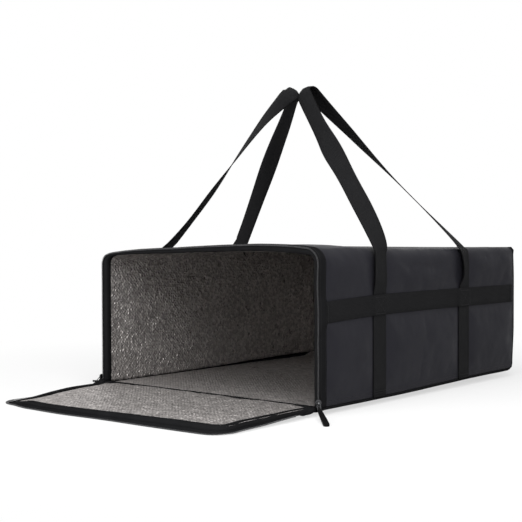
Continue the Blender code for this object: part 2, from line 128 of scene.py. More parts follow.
def arch_place(share, y, lift=0.0):
    """A place on the sides and top at depth y; share runs from the left foot, 0, to the right foot, 1."""
    back = (y - FRONT) / DEPTH
    side = 1 if share > 0.5 else -1
    front_bend = 0.020 if side > 0 else 0.028
    bend = front_bend + (0.010 - front_bend) * back
    crown = 0.007 * (1 - ease(back / 0.55)) - 0.001
    upright = BAG_TOP - bend - WRAP_FOOT
    quarter = bend * math.pi / 2
    flat = BAG_HALF - bend
    run = (1 - abs(2 * share - 1)) * (upright + quarter + flat)
    if run <= upright:
        return slump((side * (BAG_HALF + lift), y, WRAP_FOOT + run))
    if run <= upright + quarter:
        angle = (run - upright) / bend
        reach = bend + lift
        return slump((side * (flat + reach * math.cos(angle)), y, BAG_TOP - bend + reach * math.sin(angle)))
    inward = (run - upright - quarter) / flat
    return slump((side * flat * (1 - inward), y, BAG_TOP + lift + crown * (1 - (1 - inward) ** 2)))


def wave(place, scale, seed=0.0):
    """A smooth random number from -1 to 1 for a place."""
    return noise.noise(Vector((place[0] / scale + seed, place[1] / scale - seed, place[2] / scale + 2 * seed)))


def rim_sway(point):
    """How far the soft front rim leans out of line at a place on it."""
    fade = max(0.0, 1 - (point.y - FRONT) / 0.09)
    low = clamp((point.z - 0.035) / 0.05)
    leaning = 0.1 + 0.9 * clamp((point.x + 0.1) / 0.2)
    return 0.0016 * leaning * fade * low * wave((point.x, 0.0, point.z), 0.055, 3.1)


def leaning_place(share, y, lift):
    """A place on the sides and top that leans with the rim."""
    place = arch_place(share, y, lift)
    place.x += rim_sway(place)
    return place


def seam_distance(point):
    """How far a place on the outer cover is from the nearest row of stitches that holds it."""
    distances = [point.y - MARGIN_REAR, WRAP_REAR + 0.003 * ease(point.z / 0.1) - point.y]
    if point.z < 0.2226 and abs(point.x) > 0.18:
        distances.append(point.z - 0.0235)
        distances += [abs(point.y - y) - STRAP_WIDTH / 2 for y in STRAP_PLACES]
        distances.append(max(BAND_LOW - 0.003 - point.z, point.z - BAND_HIGH))
    return max(0.0, min(distances))


PUFF_STEPS = 14


def puff(piece, pressure, most, slack):
    """Blow a piece of cloth out from the places where it is held, and keep that shape in its mesh."""
    step = piece.modifiers.new("puff", "CLOTH")
    step.point_cache.frame_start = 1
    step.point_cache.frame_end = PUFF_STEPS
    cloth = step.settings
    cloth.vertex_group_mass = "held"
    cloth.use_pressure = True
    cloth.uniform_pressure_force = pressure
    cloth.shrink_min = -slack
    cloth.mass = 0.35
    cloth.quality = 6
    cloth.tension_stiffness = cloth.compression_stiffness = 12
    cloth.bending_stiffness = 4
    cloth.effector_weights.gravity = 0.0
    before = [vert.co.copy() for vert in piece.data.vertices]
    out = [vert.normal.copy() for vert in piece.data.vertices]
    for number in range(1, PUFF_STEPS + 1):
        bpy.context.scene.frame_set(number)
    seen = piece.evaluated_get(bpy.context.evaluated_depsgraph_get())
    rises = []
    for puffed, old, normal in zip(seen.data.vertices, before, out):
        rise = min(most, max(0.0, (puffed.co - old).dot(normal)))
        rises.append(rise * (1 - 0.85 * max(0.0, normal.z)))
    ends = np.array([edge.vertices[:] for edge in piece.data.edges])
    rises = raw = np.array(rises)
    count = np.bincount(ends.ravel(), minlength=len(rises))
    for _ in range(14):
        near = (np.bincount(ends[:, 0], rises[ends[:, 1]], len(rises))
                + np.bincount(ends[:, 1], rises[ends[:, 0]], len(rises)))
        rises = 0.4 * rises + 0.6 * near / count
    rises = np.minimum(0.3 * raw + 0.7 * rises, raw * 3 + 0.0001)
    for vert, old, normal, rise in zip(piece.data.vertices, before, out, rises):
        vert.co = old + normal * float(rise)
    piece.modifiers.remove(step)
    bpy.context.scene.frame_set(1)


def hold(piece, weight):
    """Write how firmly each corner of a cloth is held."""
    group = piece.vertex_groups.new(name="held")
    for vert in piece.data.vertices:
        group.add([vert.index], weight(vert.co), "REPLACE")


def thicken(piece, thickness, smooth=0):
    """Give a sheet its thickness on the inner side, and finer faces where asked."""
    if smooth:
        finer = piece.modifiers.new("finer", "SUBSURF")
        finer.levels = finer.render_levels = smooth
    wall = piece.modifiers.new("wall", "SOLIDIFY")
    wall.thickness = thickness
    wall.offset = -1.0
    wall.use_even_offset = True


def wrap_corner(u, v):
    y = WRAP_FRONT + (WRAP_REAR - WRAP_FRONT) * v
    corner = arch_place(u, y)
    free = min(1.0, seam_distance(corner) / 0.045)
    lift = 0.0030 * (1 - (1 - free) ** 2) * (1 - 0.85 * ease((corner.z - 0.205) / 0.02))
    return leaning_place(u, y, lift)


outer_cover = cloth_grid("outer_cover", 196, 124, wrap_corner, (0.86, 0.554))
hold(outer_cover, lambda corner: 1.0 if seam_distance(corner) < 0.0012 else 0.0)
puff(outer_cover, 6.0, 0.0045, 0.006)
outward = [vert.normal.copy() for vert in outer_cover.data.vertices]
for vert, out in zip(outer_cover.data.vertices, outward):
    free = min(1.0, seam_distance(vert.co) / 0.03)
    vert.co += out * free * (0.0009 * wave(vert.co, 0.07) + 0.0004 * wave(vert.co, 0.022, 5.0))
thicken(outer_cover, 0.0011, 1)


def settle(node, **values):
    """Set a node's own values, and with in_ before a name the value of that socket."""
    for key, value in values.items():
        if key.startswith("in_"):
            node.inputs[key[3:].replace("_", " ")].default_value = value
        else:
            setattr(node, key, value)
    return node


def nodes_of(owner, shader="Principled BSDF"):
    """The node tree, its shader and a way to add a node with settings."""
    owner.use_nodes = True
    tree = owner.node_tree
    return tree, tree.nodes[shader], lambda kind, **values: settle(tree.nodes.new(kind), **values)


def join(tree, *links):
    """Link pairs of sockets."""
    for source, target in links:
        tree.links.new(source, target)


def bumpy(tree, add, shader, height, distance, strength=1.0, before=None):
    """Turn a height into a bump on the shader."""
    bump = add("ShaderNodeBump", in_Strength=strength, in_Distance=distance)
    join(tree, (height, bump.inputs["Height"]), (bump.outputs["Normal"], shader.inputs["Normal"]))
    if before is not None:
        join(tree, (before.outputs["Normal"], bump.inputs["Normal"]))
    return bump


def two_tones(tree, add, factor, low, high):
    """A colour that goes between two near tones."""
    mix = add("ShaderNodeMix", data_type="RGBA")
    mix.inputs[6].default_value = (*low, 1.0)
    mix.inputs[7].default_value = (*high, 1.0)
    join(tree, (factor, mix.inputs[0]))
    return mix.outputs[2]


def spread(tree, add, value, low, high):
    """Map a noise value onto a narrow range of numbers."""
    ranged = add("ShaderNodeMapRange", in_From_Min=0.3, in_From_Max=0.7, in_To_Min=low, in_To_Max=high)
    join(tree, (value, ranged.inputs["Value"]))
    return ranged.outputs["Result"]


def finish(name, noises, tones, roughness, bumps, rough_from=0, specular=0.5, metallic=0.0):
    """A finish made of noises, each a scale, a detail and where given a roughness. The first one clouds the colour,
    rough_from numbers the one that varies the gloss, and each bump is a noise's number, a depth and a strength."""
    material = bpy.data.materials.new(name)
    tree, shader, add = nodes_of(material)
    place = add("ShaderNodeTexCoord").outputs["Object"]
    heights = []
    for scale, detail, *rough in noises:
        cloud = add("ShaderNodeTexNoise", in_Scale=scale, in_Detail=detail, in_Roughness=(rough or [0.5])[0])
        join(tree, (place, cloud.inputs["Vector"]))
        heights.append(cloud.outputs["Fac"])
    join(tree, (two_tones(tree, add, heights[0], *tones), shader.inputs["Base Color"]))
    join(tree, (spread(tree, add, heights[rough_from], *roughness), shader.inputs["Roughness"]))
    before = None
    for number, depth, strength in bumps:
        before = bumpy(tree, add, shader, heights[number], depth, strength, before)
    settle(shader, in_Specular_IOR_Level=specular, in_Metallic=metallic)
    return material


coated_polyester = finish("coated_polyester", ((14.0, 4.0), (34.0, 5.0, 0.55), (900.0, 2.0)),
                          ((0.0120, 0.0118, 0.0152), (0.0175, 0.0172, 0.0215)), (0.42, 0.56),
                          ((1, 0.0016, 0.35), (2, 0.00025, 0.3)), rough_from=1, specular=0.06)


def dress(piece, material, body, slot, *nodes):
    """Give a piece its finish, its body and the nodes that it stands for. The slot is not used."""
    piece.data.materials.clear()
    piece.data.materials.append(material)
    if body:
        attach(piece, body)
    if nodes:
        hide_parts(*nodes)


dress(outer_cover, coated_polyester, "bag", "outer_fabric", "outer_wrap", "foam_left", "foam_right", "foam_top")


# The rear end: a panel of the same fabric over foam, with round lower corners, sewn into
# the cover with a piping all round.
REAR = 0.280
REAR_HALF = 0.2153
REAR_LOW, REAR_HIGH = 0.0142, 0.2253


def rounded(u, v, half_width, low, high, bend):
    """A place in a rectangle with round corners, for u and v from 0 to 1."""
    x = (2 * u - 1) * half_width
    z = low + (high - low) * v
    centre_x = half_width - bend
    centre_z = low + bend if z < (low + high) / 2 else high - bend
    over_x = abs(x) - centre_x
    over_z = (centre_z - z) if z < (low + high) / 2 else (z - centre_z)
    if over_x > 0 and over_z > 0:
        shrink = max(over_x, over_z) / math.hypot(over_x, over_z)
        x = math.copysign(centre_x + over_x * shrink, x)
        z = centre_z + math.copysign(over_z * shrink, z - centre_z)
    return x, z


def rear_corner(u, v):
    x, z = rounded(u, v, REAR_HALF, REAR_LOW, REAR_HIGH, 0.008)
    crown = 0.001 * (1 - (x / REAR_HALF) ** 2) * v ** 4
    return slump((-x, REAR - 0.0005, z - crown))


def rear_distance(corner):
    return min(REAR_HALF - abs(corner.x), corner.z - REAR_LOW, REAR_HIGH - corner.z)


rear_panel = cloth_grid("rear_panel", 96, 48, rear_corner, (0.43, 0.213))
hold(rear_panel, lambda corner: 1.0 if rear_distance(corner) < 0.006 else 0.0)
puff(rear_panel, 4.0, 0.0030, 0.01)
for vert in rear_panel.data.vertices:
    free = clamp(rear_distance(vert.co) / 0.03)
    vert.co.y += free * (0.0010 * wave(vert.co, 0.08, 9.0) + 0.0010)
thicken(rear_panel, 0.0011, 1)
dress(rear_panel, coated_polyester, "bag", "outer_fabric", "outer_rear_panel", "foam_rear")


# The bottom panel: the same fabric over thicker foam. Its middle lies on the floor, and its
# edges rise to the seam.
PIPING = 0.0024
BELLY_HALF = 0.2153
BELLY_REAR = 0.2765
BELLY_RISE = 0.0088
SEAM_HEIGHT = 0.0118


def heel(y):
    """How far the bag's floor has risen at depth y, from 0 to 1 at the rear seam."""
    return ease((y - 0.235) / 0.0277)


def bottom_corner(u, v):
    x = (2 * u - 1) * BELLY_HALF
    y = BELLY_REAR - (BELLY_REAR - WRAP_FRONT) * v
    edge = min(BELLY_HALF - abs(x), BELLY_REAR - y)
    rise = max(0.0, 1 - edge / 0.066)
    front = 1 - 0.35 * max(0.0, 1 - (y - WRAP_FRONT) / 0.04)
    corner = slump((x, y, 0.0012 + BELLY_RISE * front * (0.75 * rise ** 1.5 + 0.25 * rise ** 4)), PIPING)
    corner.z = max(corner.z, SEAM_HEIGHT * heel(y))
    return corner


bottom_panel = cloth_grid("bottom_panel", 88, 110, bottom_corner, (0.43, 0.554))
for vert in bottom_panel.data.vertices:
    vert.co.z += 0.0004 * (1 + wave(vert.co, 0.06, 4.0)) * min(1.0, (vert.co.z - 0.0012) / 0.002)
thicken(bottom_panel, 0.0011)
dress(bottom_panel, coated_polyester, "bag", "outer_fabric", "outer_bottom_panel", "foam_bottom")


# Piping: a thin cord wrapped in bias tape, sewn into the seams round the rear end and
# along both lower edges. At the top rear corners its ends leave a small sewn ear.
def round_cord(name, points, radius, closed=False, sides=3):
    """A round cord of fabric through a row of points, as a mesh."""
    curve = bpy.data.curves.new(name, "CURVE")
    curve.dimensions = "3D"
    curve.bevel_depth = radius
    curve.bevel_resolution = sides
    curve.use_fill_caps = not closed
    line = curve.splines.new("POLY")
    line.points.add(len(points) - 1)
    for point, corner in zip(line.points, points):
        point.co = (*corner, 1.0)
    line.use_cyclic_u = closed
    drawn = bpy.data.objects.new(name, curve)
    bpy.context.scene.collection.objects.link(drawn)
    bpy.context.view_layer.update()
    mesh = bpy.data.meshes.new_from_object(drawn.evaluated_get(bpy.context.evaluated_depsgraph_get()))
    bpy.data.objects.remove(drawn)
    bpy.data.curves.remove(curve)
    mesh.name = name
    mesh.shade_smooth()
    return new_object(name, mesh)


binding_tape = finish("binding_tape", ((40.0, 3.0), (90.0, 4.0), (1400.0, 2.0)),
                      ((0.0075, 0.0075, 0.0080), (0.0125, 0.0125, 0.0133)), (0.46, 0.64),
                      ((1, 0.0012, 0.4), (2, 0.0003, 0.5)), specular=0.0)

SIDES = ((1, "right"), (-1, "left"))
for side, name in SIDES:
    points = []
    for i in range(81):
        y = WRAP_FRONT + (REAR - PIPING - WRAP_FRONT) * i / 80
        sag = 0.0003 * wave((side, y, 0.0), 0.05)
        points.append(slump((side * (BAG_HALF - PIPING + 0.0004), y, SEAM_HEIGHT + sag), PIPING))
    piping = round_cord(name + "_bottom_piping", points, PIPING)
    dress(piping, binding_tape, "bag", "binding", name + "_piping")

points = [arch_place(i / 120, REAR - PIPING, -PIPING + 0.0004) for i in range(121)]
for point in points:
    ear = max(0.0, 1 - math.hypot(abs(point.x) - BAG_HALF, point.z - 0.2243) / 0.011)
    point.z += 0.0036 * ear
    point.x += math.copysign(0.0018 * ear, point.x)
    point.y += 0.0015 * ear
turn, flat = 0.0115, BAG_HALF - 0.0135
foot_line = []
for i in range(13):
    angle = math.pi / 2 * i / 12
    foot_line.append((flat + turn * math.cos(angle), SEAM_HEIGHT + turn - turn * math.sin(angle)))
foot_line += [(flat - 2 * flat * i / 60, SEAM_HEIGHT) for i in range(1, 60)]
foot_line += [(-x, z) for x, z in foot_line[12::-1]]
points += [slump((x, REAR - PIPING, z), PIPING) for x, z in foot_line]
rear_piping = round_cord("rear_seam_piping", points, PIPING, closed=True)
dress(rear_piping, binding_tape, "bag", "binding", "rear_piping")


# The lining: silver metallised film on thin bubble sheet. One length lines the sides and
# top, one the floor and one the rear, each a little slack, so it glints in small folds.
# More glints are painted into its colour, which goes brighter and darker cell by cell.
LINING = 0.0005
LINING_DEPTH = 0.0072
LINING_REAR = 0.2713
LINING_HALF = 0.2112
FLOOR_TOP = 0.0106
LINING_HEEL = 0.0055
metal_film = bpy.data.materials.new("metal_film")
tree, shader, add = nodes_of(metal_film)
laid = add("ShaderNodeUVMap", uv_map="UVMap").outputs["UV"]
place = add("ShaderNodeTexCoord").outputs["Object"]
turned = add("ShaderNodeMapping", in_Rotation=(0.0, 0.0, math.radians(45)))
across = add("ShaderNodeTexWave", bands_direction="X", in_Scale=74.0, in_Distortion=0.4, in_Detail=1.0)
along = add("ShaderNodeTexWave", bands_direction="Y", in_Scale=74.0, in_Distortion=0.4, in_Detail=1.0)
higher = add("ShaderNodeMath", operation="MULTIPLY")
cells = add("ShaderNodeTexVoronoi", in_Scale=230.0)
crinkle = add("ShaderNodeTexNoise", in_Scale=60.0, in_Detail=5.0, in_Roughness=0.6)
join(tree, (laid, turned.inputs["Vector"]), (turned.outputs["Vector"], across.inputs["Vector"]),
     (turned.outputs["Vector"], along.inputs["Vector"]), (laid, cells.inputs["Vector"]),
     (place, crinkle.inputs["Vector"]), (across.outputs["Fac"], higher.inputs[0]),
     (along.outputs["Fac"], higher.inputs[1]))
# Painted glints: the film's base colour goes brighter and darker from cell to cell, standing in for small facets
# catching the light; the same cells also give it a real bump.
glint_cell = add("ShaderNodeSeparateColor")
painted_glints = add("ShaderNodeMath", operation="POWER")
painted_glints.inputs[1].default_value = 1.6
join(tree, (cells.outputs["Color"], glint_cell.inputs[0]), (glint_cell.outputs[0], painted_glints.inputs[0]))
join(tree, (two_tones(tree, add, painted_glints.outputs["Value"], (0.27, 0.254, 0.247), (0.52, 0.490, 0.476)),
            shader.inputs["Base Color"]))
join(tree, (spread(tree, add, crinkle.outputs["Fac"], 0.24, 0.44), shader.inputs["Roughness"]))
wrinkled = bumpy(tree, add, shader, crinkle.outputs["Fac"], 0.0022, 0.6)
dimpled = bumpy(tree, add, shader, higher.outputs["Value"], 0.0007, 0.8, wrinkled)
bumpy(tree, add, shader, cells.outputs["Distance"], 0.0016, 1.0, dimpled)
settle(shader, in_Metallic=0.60, in_Specular_IOR_Level=0.15, in_Specular_Tint=(0.50, 0.48, 0.47, 1.0))


def lining_wrap_corner(u, v):
    y = WRAP_FRONT + (LINING_REAR - WRAP_FRONT) * v
    corner = arch_place(1 - u, y, -LINING_DEPTH)
    loose = min(1.0, (y - WRAP_FRONT) / 0.02, (LINING_REAR - y) / 0.02)
    slack = 0.0011 * loose * wave(corner, 0.045, 2.0) + 0.0005 * loose * wave(corner, 0.012, 7.0)
    middle = Vector((0.0, y, 0.1))
    return corner + (middle - corner).normalized() * (0.0004 + slack)


def lining_floor_corner(u, v):
    x = (2 * u - 1) * LINING_HALF
    y = WRAP_FRONT + (LINING_REAR - WRAP_FRONT) * v
    loose = min(1.0, v / 0.05, (LINING_HALF - abs(x)) / 0.02)
    slack = wave((x, y, 0.0), 0.05, 8.0) + 0.4 * wave((x, y, 0.0), 0.012, 1.0)
    return Vector((x, y, FLOOR_TOP + LINING_HEEL * heel(y) + 0.0009 * loose * (0.6 + slack)))


def lining_rear_corner(u, v):
    x, z = rounded(1 - u, v, 0.2120, FLOOR_TOP + LINING_HEEL, 0.2215 - 0.0057, 0.0015)
    loose = min(1.0, v / 0.08, (1 - v) / 0.08, (0.2118 - abs(x)) / 0.02)
    return Vector((-x, LINING_REAR - 0.0012 * max(0.0, loose) * (1 + wave((x, 0.0, z), 0.04, 6.0)), z))


lining_wrap = cloth_grid("lining_wrap", 260, 160, lining_wrap_corner, (0.84, 0.55))
lining_floor = cloth_grid("lining_floor", 140, 170, lining_floor_corner, (0.42, 0.55))
lining_rear = cloth_grid("lining_rear", 120, 60, lining_rear_corner, (0.42, 0.21))
for piece, node in ((lining_wrap, "liner_wrap"), (lining_floor, "liner_bottom"), (lining_rear, "liner_rear")):
    thicken(piece, LINING)
    dress(piece, metal_film, "bag", "foil_liner", node)


# The front rim: a tape folded over the raw edges of cover, foam and lining, sewn down with
# two rows of stitches. Outside it also covers the front ends of the side bands.
def loft(name, rows, distances=None):
    """Draw a closed outline through a row of outlines with as many corners; UVs run along and round it."""
    bm = bmesh.new()
    first = bm.faces.new([bm.verts.new(corner) for corner in rows[0]])
    laid = bm.loops.layers.uv.new("UVMap")
    face = first
    marks = {vert: (0.0, j) for j, vert in enumerate(first.verts)}
    for i, row in enumerate(rows[1:], 1):
        drawn = bmesh.ops.extrude_face_region(bm, geom=[face])["geom"]
        if i > 1:
            bmesh.ops.delete(bm, geom=[face], context="FACES_ONLY")
        face = [item for item in drawn if isinstance(item, bmesh.types.BMFace)][0]
        for j, (vert, corner) in enumerate(zip(face.verts, row)):
            vert.co = corner
            marks[vert] = (distances[i] if distances else i * 0.005, j)
    count = len(rows[0])
    for face in bm.faces:
        wraps = max(marks[loop.vert][1] for loop in face.loops) - min(marks[loop.vert][1] for loop in face.loops)
        for loop in face.loops:
            along, j = marks[loop.vert]
            if wraps > count / 2 and j == 0:
                j = count
            loop[laid].uv = (along, j)
    bmesh.ops.recalc_face_normals(bm, faces=bm.faces)
    return from_bmesh(name, bm)


def margin_lift(point, y):
    """How much further out the rim's outer leg stands at depth y, where a band's end lies under it."""
    if abs(point.x) < 0.2:
        return 0.0
    over = max(0.0, 1 - max(0.0, abs(point.z - 0.1415) - 0.0145) / 0.006)
    return math.copysign(0.0019 * over * clamp((y + 0.2770) / 0.0060), point.x)


RIM_OUTLINE = ((0.0014, MARGIN_REAR), (0.0016, -0.2662), (0.0014, -0.2700), (0.0015, -0.2740),
               (0.0012, -0.2785), (0.0004, -0.2800), (-0.0036, -0.2806), (-0.0076, -0.2800),
               (-0.0086, -0.2780), (-0.0084, -0.2705), (-0.0078, -0.2702), (-0.0076, -0.2770),
               (-0.0060, -0.2790), (-0.0004, -0.2788), (0.0003, -0.2770), (0.0004, MARGIN_REAR))
rows = []
for i in range(181):
    share = i / 180
    row = []
    for lift, y in RIM_OUTLINE:
        point = arch_place(share, y, lift)
        if lift > 0:
            point.x += margin_lift(point, y)
        ripple = 0.00025 * wave((share * 60, y * 30, 0.0), 1.0)
        point = point + Vector((rim_sway(point) + ripple * math.copysign(1.0, lift), 0.0, ripple))
        row.append(point)
    rows.append(row)
front_rim = loft("front_rim_tape", rows)
dress(front_rim, binding_tape, "bag", "binding", "rim_binding")

rows = []
for i in range(61):
    x = -0.2092 + 0.4184 * i / 60
    wag = 0.0002 * wave((x, 0.0, 0.0), 0.02)
    rows.append([Vector((x, y, z + wag)) for y, z in (
        (-0.2798, 0.0065), (-0.2804, 0.0080), (-0.2804, 0.0110), (-0.2798, 0.0118), (-0.2770, 0.0121),
        (-0.2702, 0.0119), (-0.2700, 0.0113), (-0.2785, 0.0108), (-0.2790, 0.0065))])
floor_rim = loft("floor_rim_tape", rows)
dress(floor_rim, binding_tape, "bag", "binding", "bottom_front_binding")


# The zipper: nylon coil sewn to the edge of a tape. One half runs round the front rim and
# the other round the flap, each a single wound thread with about 1.6 mm to a turn.
COIL_PITCH = 0.0016
COIL_THREAD = 0.00034
COIL_CORNERS = 7


def runs_along(line):
    """How far along a line each of its points is."""
    lengths = [0.0]
    for a, b in zip(line, line[1:]):
        lengths.append(lengths[-1] + (b - a).length)
    return lengths


def wound_coil(name, line, outs, radius):
    """A thread wound along a line, flattened a little to the side; outs point away from the tape."""
    lengths = runs_along(line)
    turns = int(lengths[-1] / COIL_PITCH)
    steps = turns * COIL_CORNERS
    places = np.linspace(0.0, lengths[-1], steps + 1)
    centres = np.stack([np.interp(places, lengths, [p[k] for p in line]) for k in range(3)], axis=1)
    ways = np.stack([np.interp(places, lengths, [o[k] for o in outs]) for k in range(3)], axis=1)
    along = np.gradient(centres, axis=0)
    along /= np.linalg.norm(along, axis=1)[:, None]
    across = np.cross(along, ways)
    across /= np.linalg.norm(across, axis=1)[:, None]
    ways = np.cross(across, along)
    angles = np.linspace(0.0, 2 * math.pi * turns, steps + 1)
    points = (centres + ways * (radius * np.cos(angles))[:, None]
              + across * (0.8 * radius * np.sin(angles))[:, None])
    return round_cord(name, [Vector(p) for p in points], COIL_THREAD, sides=0)


nylon_coil = finish("nylon_coil", ((120.0, 2.0),), ((0.045, 0.045, 0.047), (0.085, 0.085, 0.088)),
                    (0.28, 0.42), ((0, 0.0002, 0.3),), specular=0.25)

line, outs = [], []
for i in range(241):
    share = i / 240
    point = arch_place(share, FRONT - 0.0016, 0.0)
    above = arch_place(share, FRONT - 0.0016, 0.001)
    outs.append(Vector((0.0, -1.0, 0.0)) + (above - point) * 400)
    line.append(leaning_place(share, FRONT - 0.0016, 0.0))
rim_coil = wound_coil("rim_zipper_coil", line, outs, 0.0011)
dress(rim_coil, nylon_coil, "bag", "zipper_coil", "bag_zipper_coil")

rows = []
for i in range(181):
    rows.append([leaning_place(i / 180, y, lift) for lift, y in (
        (0.0003, -0.2787), (0.0003, -0.2812), (-0.0003, -0.2812), (-0.0003, -0.2787))])
rim_tape = loft("rim_coil_tape", rows)
dress(rim_tape, binding_tape, "bag", "binding")


# The flap: a padded front wall hinged at the floor, silver inside and black outside. Its
# fabric is sewn to the lining round a bound edge, and it lies open on the floor.
HINGE_Y, HINGE_HEIGHT = -0.2821, 0.0115
FLAP_HALF = 0.2132
FLAP_NEAR, FLAP_FAR = 0.0040, 0.1895
FLAP_BEND = 0.0250
FLAP_CROWN = 0.006


def flap_outline(half_width, near, far, bend, steps):
    """The flap's edge from its left hinge end round the far side to its right hinge end."""
    points = [Vector((-half_width, HINGE_Y - near, 0.0))]
    corner = (-half_width + bend, HINGE_Y - far + bend)
    for i in range(steps + 1):
        angle = math.pi + math.pi / 2 * i / steps
        points.append(Vector((corner[0] + bend * math.cos(angle), corner[1] + bend * math.sin(angle), 0.0)))
    flat = half_width - bend
    for i in range(1, 24):
        x = -flat + 2 * flat * i / 24
        points.append(Vector((x, HINGE_Y - far - FLAP_CROWN * (1 - (x / flat) ** 2), 0.0)))
    for point in reversed(points[:steps + 2]):
        points.append(Vector((-point.x, point.y, 0.0)))
    return points


def even_steps(points, step):
    """The same line with corners at about even distances."""
    lengths = runs_along(points)
    count = max(2, round(lengths[-1] / step))
    places = np.linspace(0.0, lengths[-1], count + 1)
    return [Vector([float(np.interp(s, lengths, [p[k] for p in points])) for k in range(3)]) for s in places]


def flap_place(u, v, half_width=FLAP_HALF, near=FLAP_NEAR):
    """A place inside the flap's edge: u from left to right, v from the hinge outwards."""
    x = (2 * u - 1) * half_width
    y = near + (FLAP_FAR - near) * v
    flat, deep = half_width - FLAP_BEND, FLAP_FAR - FLAP_BEND
    over_x, over_y = abs(x) - flat, y - deep
    if over_x > 0 and over_y > 0:
        shrink = max(over_x, over_y) / math.hypot(over_x, over_y)
        x = math.copysign(flat + over_x * shrink, x)
        y = deep + over_y * shrink
    crown = FLAP_CROWN * max(0.0, 1 - (x / flat) ** 2) * (y / FLAP_FAR) ** 3
    return Vector((x, HINGE_Y - y - crown, 0.0))


THIN_PLACES = (-0.22, -0.13, -0.05, 0.05, 0.13, 0.19, 0.22)
THIN_SHARES = (0.74, 0.60, 0.44, 0.24, 0.14, 0.16, 0.28)


def flap_rest(point):
    """How the open flap lies: pressed flat along its left side and far corners, its right side a little raised."""
    x, y, z = point
    reach = HINGE_Y - y
    thin = float(np.interp(x, THIN_PLACES, THIN_SHARES))
    toward_right = ease((x + 0.05) / 0.20)
    leftmost = ease((-0.12 - x) / 0.09)
    far = ease((reach - 0.045) / 0.13) * (1 - toward_right) + ease((reach - 0.14) / 0.05) * toward_right
    far = max(far * (1 - leftmost), leftmost * (0.15 + 0.85 * ease((reach - 0.06) / 0.10)))
    at_side = ease((abs(x) - 0.165) / 0.045)
    near = math.sin(math.pi * clamp(reach / 0.11))
    low = max(0.0, 1 - z / 0.0127)
    lift = 0.0050 * at_side * low * (1 - ease((reach - 0.02) / 0.13)) * (1 - 0.7 * leftmost)
    lift += 0.0004 * near * at_side * (1 - leftmost)
    corner = ease((-x - 0.13) / 0.08) * ease((reach - 0.11) / 0.07)
    turn = leftmost * ease((reach - 0.06) / 0.12)
    return Vector((x - 0.0040 * turn, y - 0.0035 * turn,
                   (z - thin * far * min(z, 0.0108) + lift) * (1 - 0.55 * corner)))


def flap_edge(place):
    """About how far a place on the flap is from its bound edge."""
    x, y = abs(place.x), HINGE_Y - place.y
    crown = FLAP_CROWN * max(0.0, 1 - (x / (FLAP_HALF - FLAP_BEND)) ** 2)
    sides = FLAP_HALF - x
    end = FLAP_FAR + crown - y
    if sides < FLAP_BEND and end < FLAP_BEND:
        return max(0.0, FLAP_BEND - math.hypot(FLAP_BEND - sides, FLAP_BEND - end))
    return max(0.0, min(sides, end))


def pinched(place):
    """How far the lining is sewn down beside the tape on the flap's left side."""
    reach = HINGE_Y - place.y
    beside = 1 - ease((flap_edge(place) - 0.0098) / 0.028)
    leftmost = ease((-place.x - 0.14) / 0.05)
    return 0.0050 * beside * leftmost * ease((reach - 0.008) / 0.03) * (1 - 0.25 * ease((reach - 0.13) / 0.04))


def flap_lining_corner(u, v):
    place = flap_place(u, v)
    reach = HINGE_Y - place.y
    edge = clamp((flap_edge(place) - 0.0098) / 0.026)
    near = clamp((reach - FLAP_NEAR) / 0.02)
    puffed = 0.0026 * edge * (0.45 + 0.55 * near) * (1 + 0.25 * wave(place, 0.09, 3.0))
    slack = 0.0009 * edge * wave(place, 0.03, 1.0) + 0.0004 * edge * wave(place, 0.010, 6.0)
    across, along = (place.x + place.y) * math.sqrt(0.5), (place.x - place.y) * math.sqrt(0.5)
    emboss = 0.00028 * edge * math.sin(across * 2 * math.pi / 0.0052) * math.sin(along * 2 * math.pi / 0.0052)
    height = 0.0114 + puffed + max(slack, -0.0008) + emboss
    return flap_rest(place + Vector((0.0, 0.0, height - pinched(place))))


flap_lining = cloth_grid("flap_lining", 300, 140, flap_lining_corner, (0.427, 0.19))
thicken(flap_lining, LINING)
dress(flap_lining, metal_film, "flap", "foil_liner", "flap_liner")


def flap_cover_corner(u, v):
    place = flap_place(u, v, half_width=0.2136, near=0.0030)
    edge = min(1.0, flap_edge(place) / 0.020)
    return flap_rest(place + Vector((0.0, 0.0, 0.0024 - 0.0018 * edge + 0.0003 * edge * wave(place, 0.05, 2.0))))


flap_cover = cloth_grid("flap_cover", 150, 70, flap_cover_corner, (0.427, 0.19))
thicken(flap_cover, 0.0010)
dress(flap_cover, coated_polyester, "flap", "outer_fabric", "flap_outer_panel", "flap_foam")


# The flap's bound edge: a wide tape folded over cover and lining and sewn through with
# two rows. Under it a narrow tape spreads out on the floor and carries the zipper's coil.
BINDING_SECTION = ((-0.0098, 0.0119), (-0.0096, 0.0126), (-0.0050, 0.0132), (-0.0012, 0.0122), (0.0012, 0.0100),
                   (0.0026, 0.0066), (0.0020, 0.0040), (0.0000, 0.0022), (-0.0040, 0.0016), (-0.0094, 0.0014),
                   (-0.0096, 0.0020), (-0.0040, 0.0026), (-0.0006, 0.0036), (0.0008, 0.0066), (-0.0004, 0.0092),
                   (-0.0024, 0.0112), (-0.0054, 0.0121), (-0.0094, 0.0117))
BINDING_LIP = -0.0090


def swept(line, section, sway):
    """Outlines of a section along a line in the floor's plane; its first number goes outwards."""
    rows, distances = [], runs_along(line)
    for i, (point, run) in enumerate(zip(line, distances)):
        ahead = line[min(i + 1, len(line) - 1)] - line[max(i - 1, 0)]
        out = Vector((ahead.y, -ahead.x, 0.0)).normalized()
        row = []
        for across, height in section(run):
            if across < BINDING_LIP and 0.0115 < height < 0.0125:
                height -= pinched(point + out * across)
            row.append(flap_rest(point + out * across + Vector((0.0, 0.0, height)) + sway(point, run)))
        rows.append(row)
    return rows, distances


edge_line = even_steps(flap_outline(0.2139, 0.0032, 0.1908, 0.0252, 10), 0.0028)


def binding_sway(point, run):
    inside = Vector((-point.x, 0.0, 0.0)).normalized()
    return inside * 0.0005 * wave((run, 0.0, 0.0), 0.03) + Vector((0.0, 0.0, 0.0003 * wave((run, 5.0, 0.0), 0.018)))


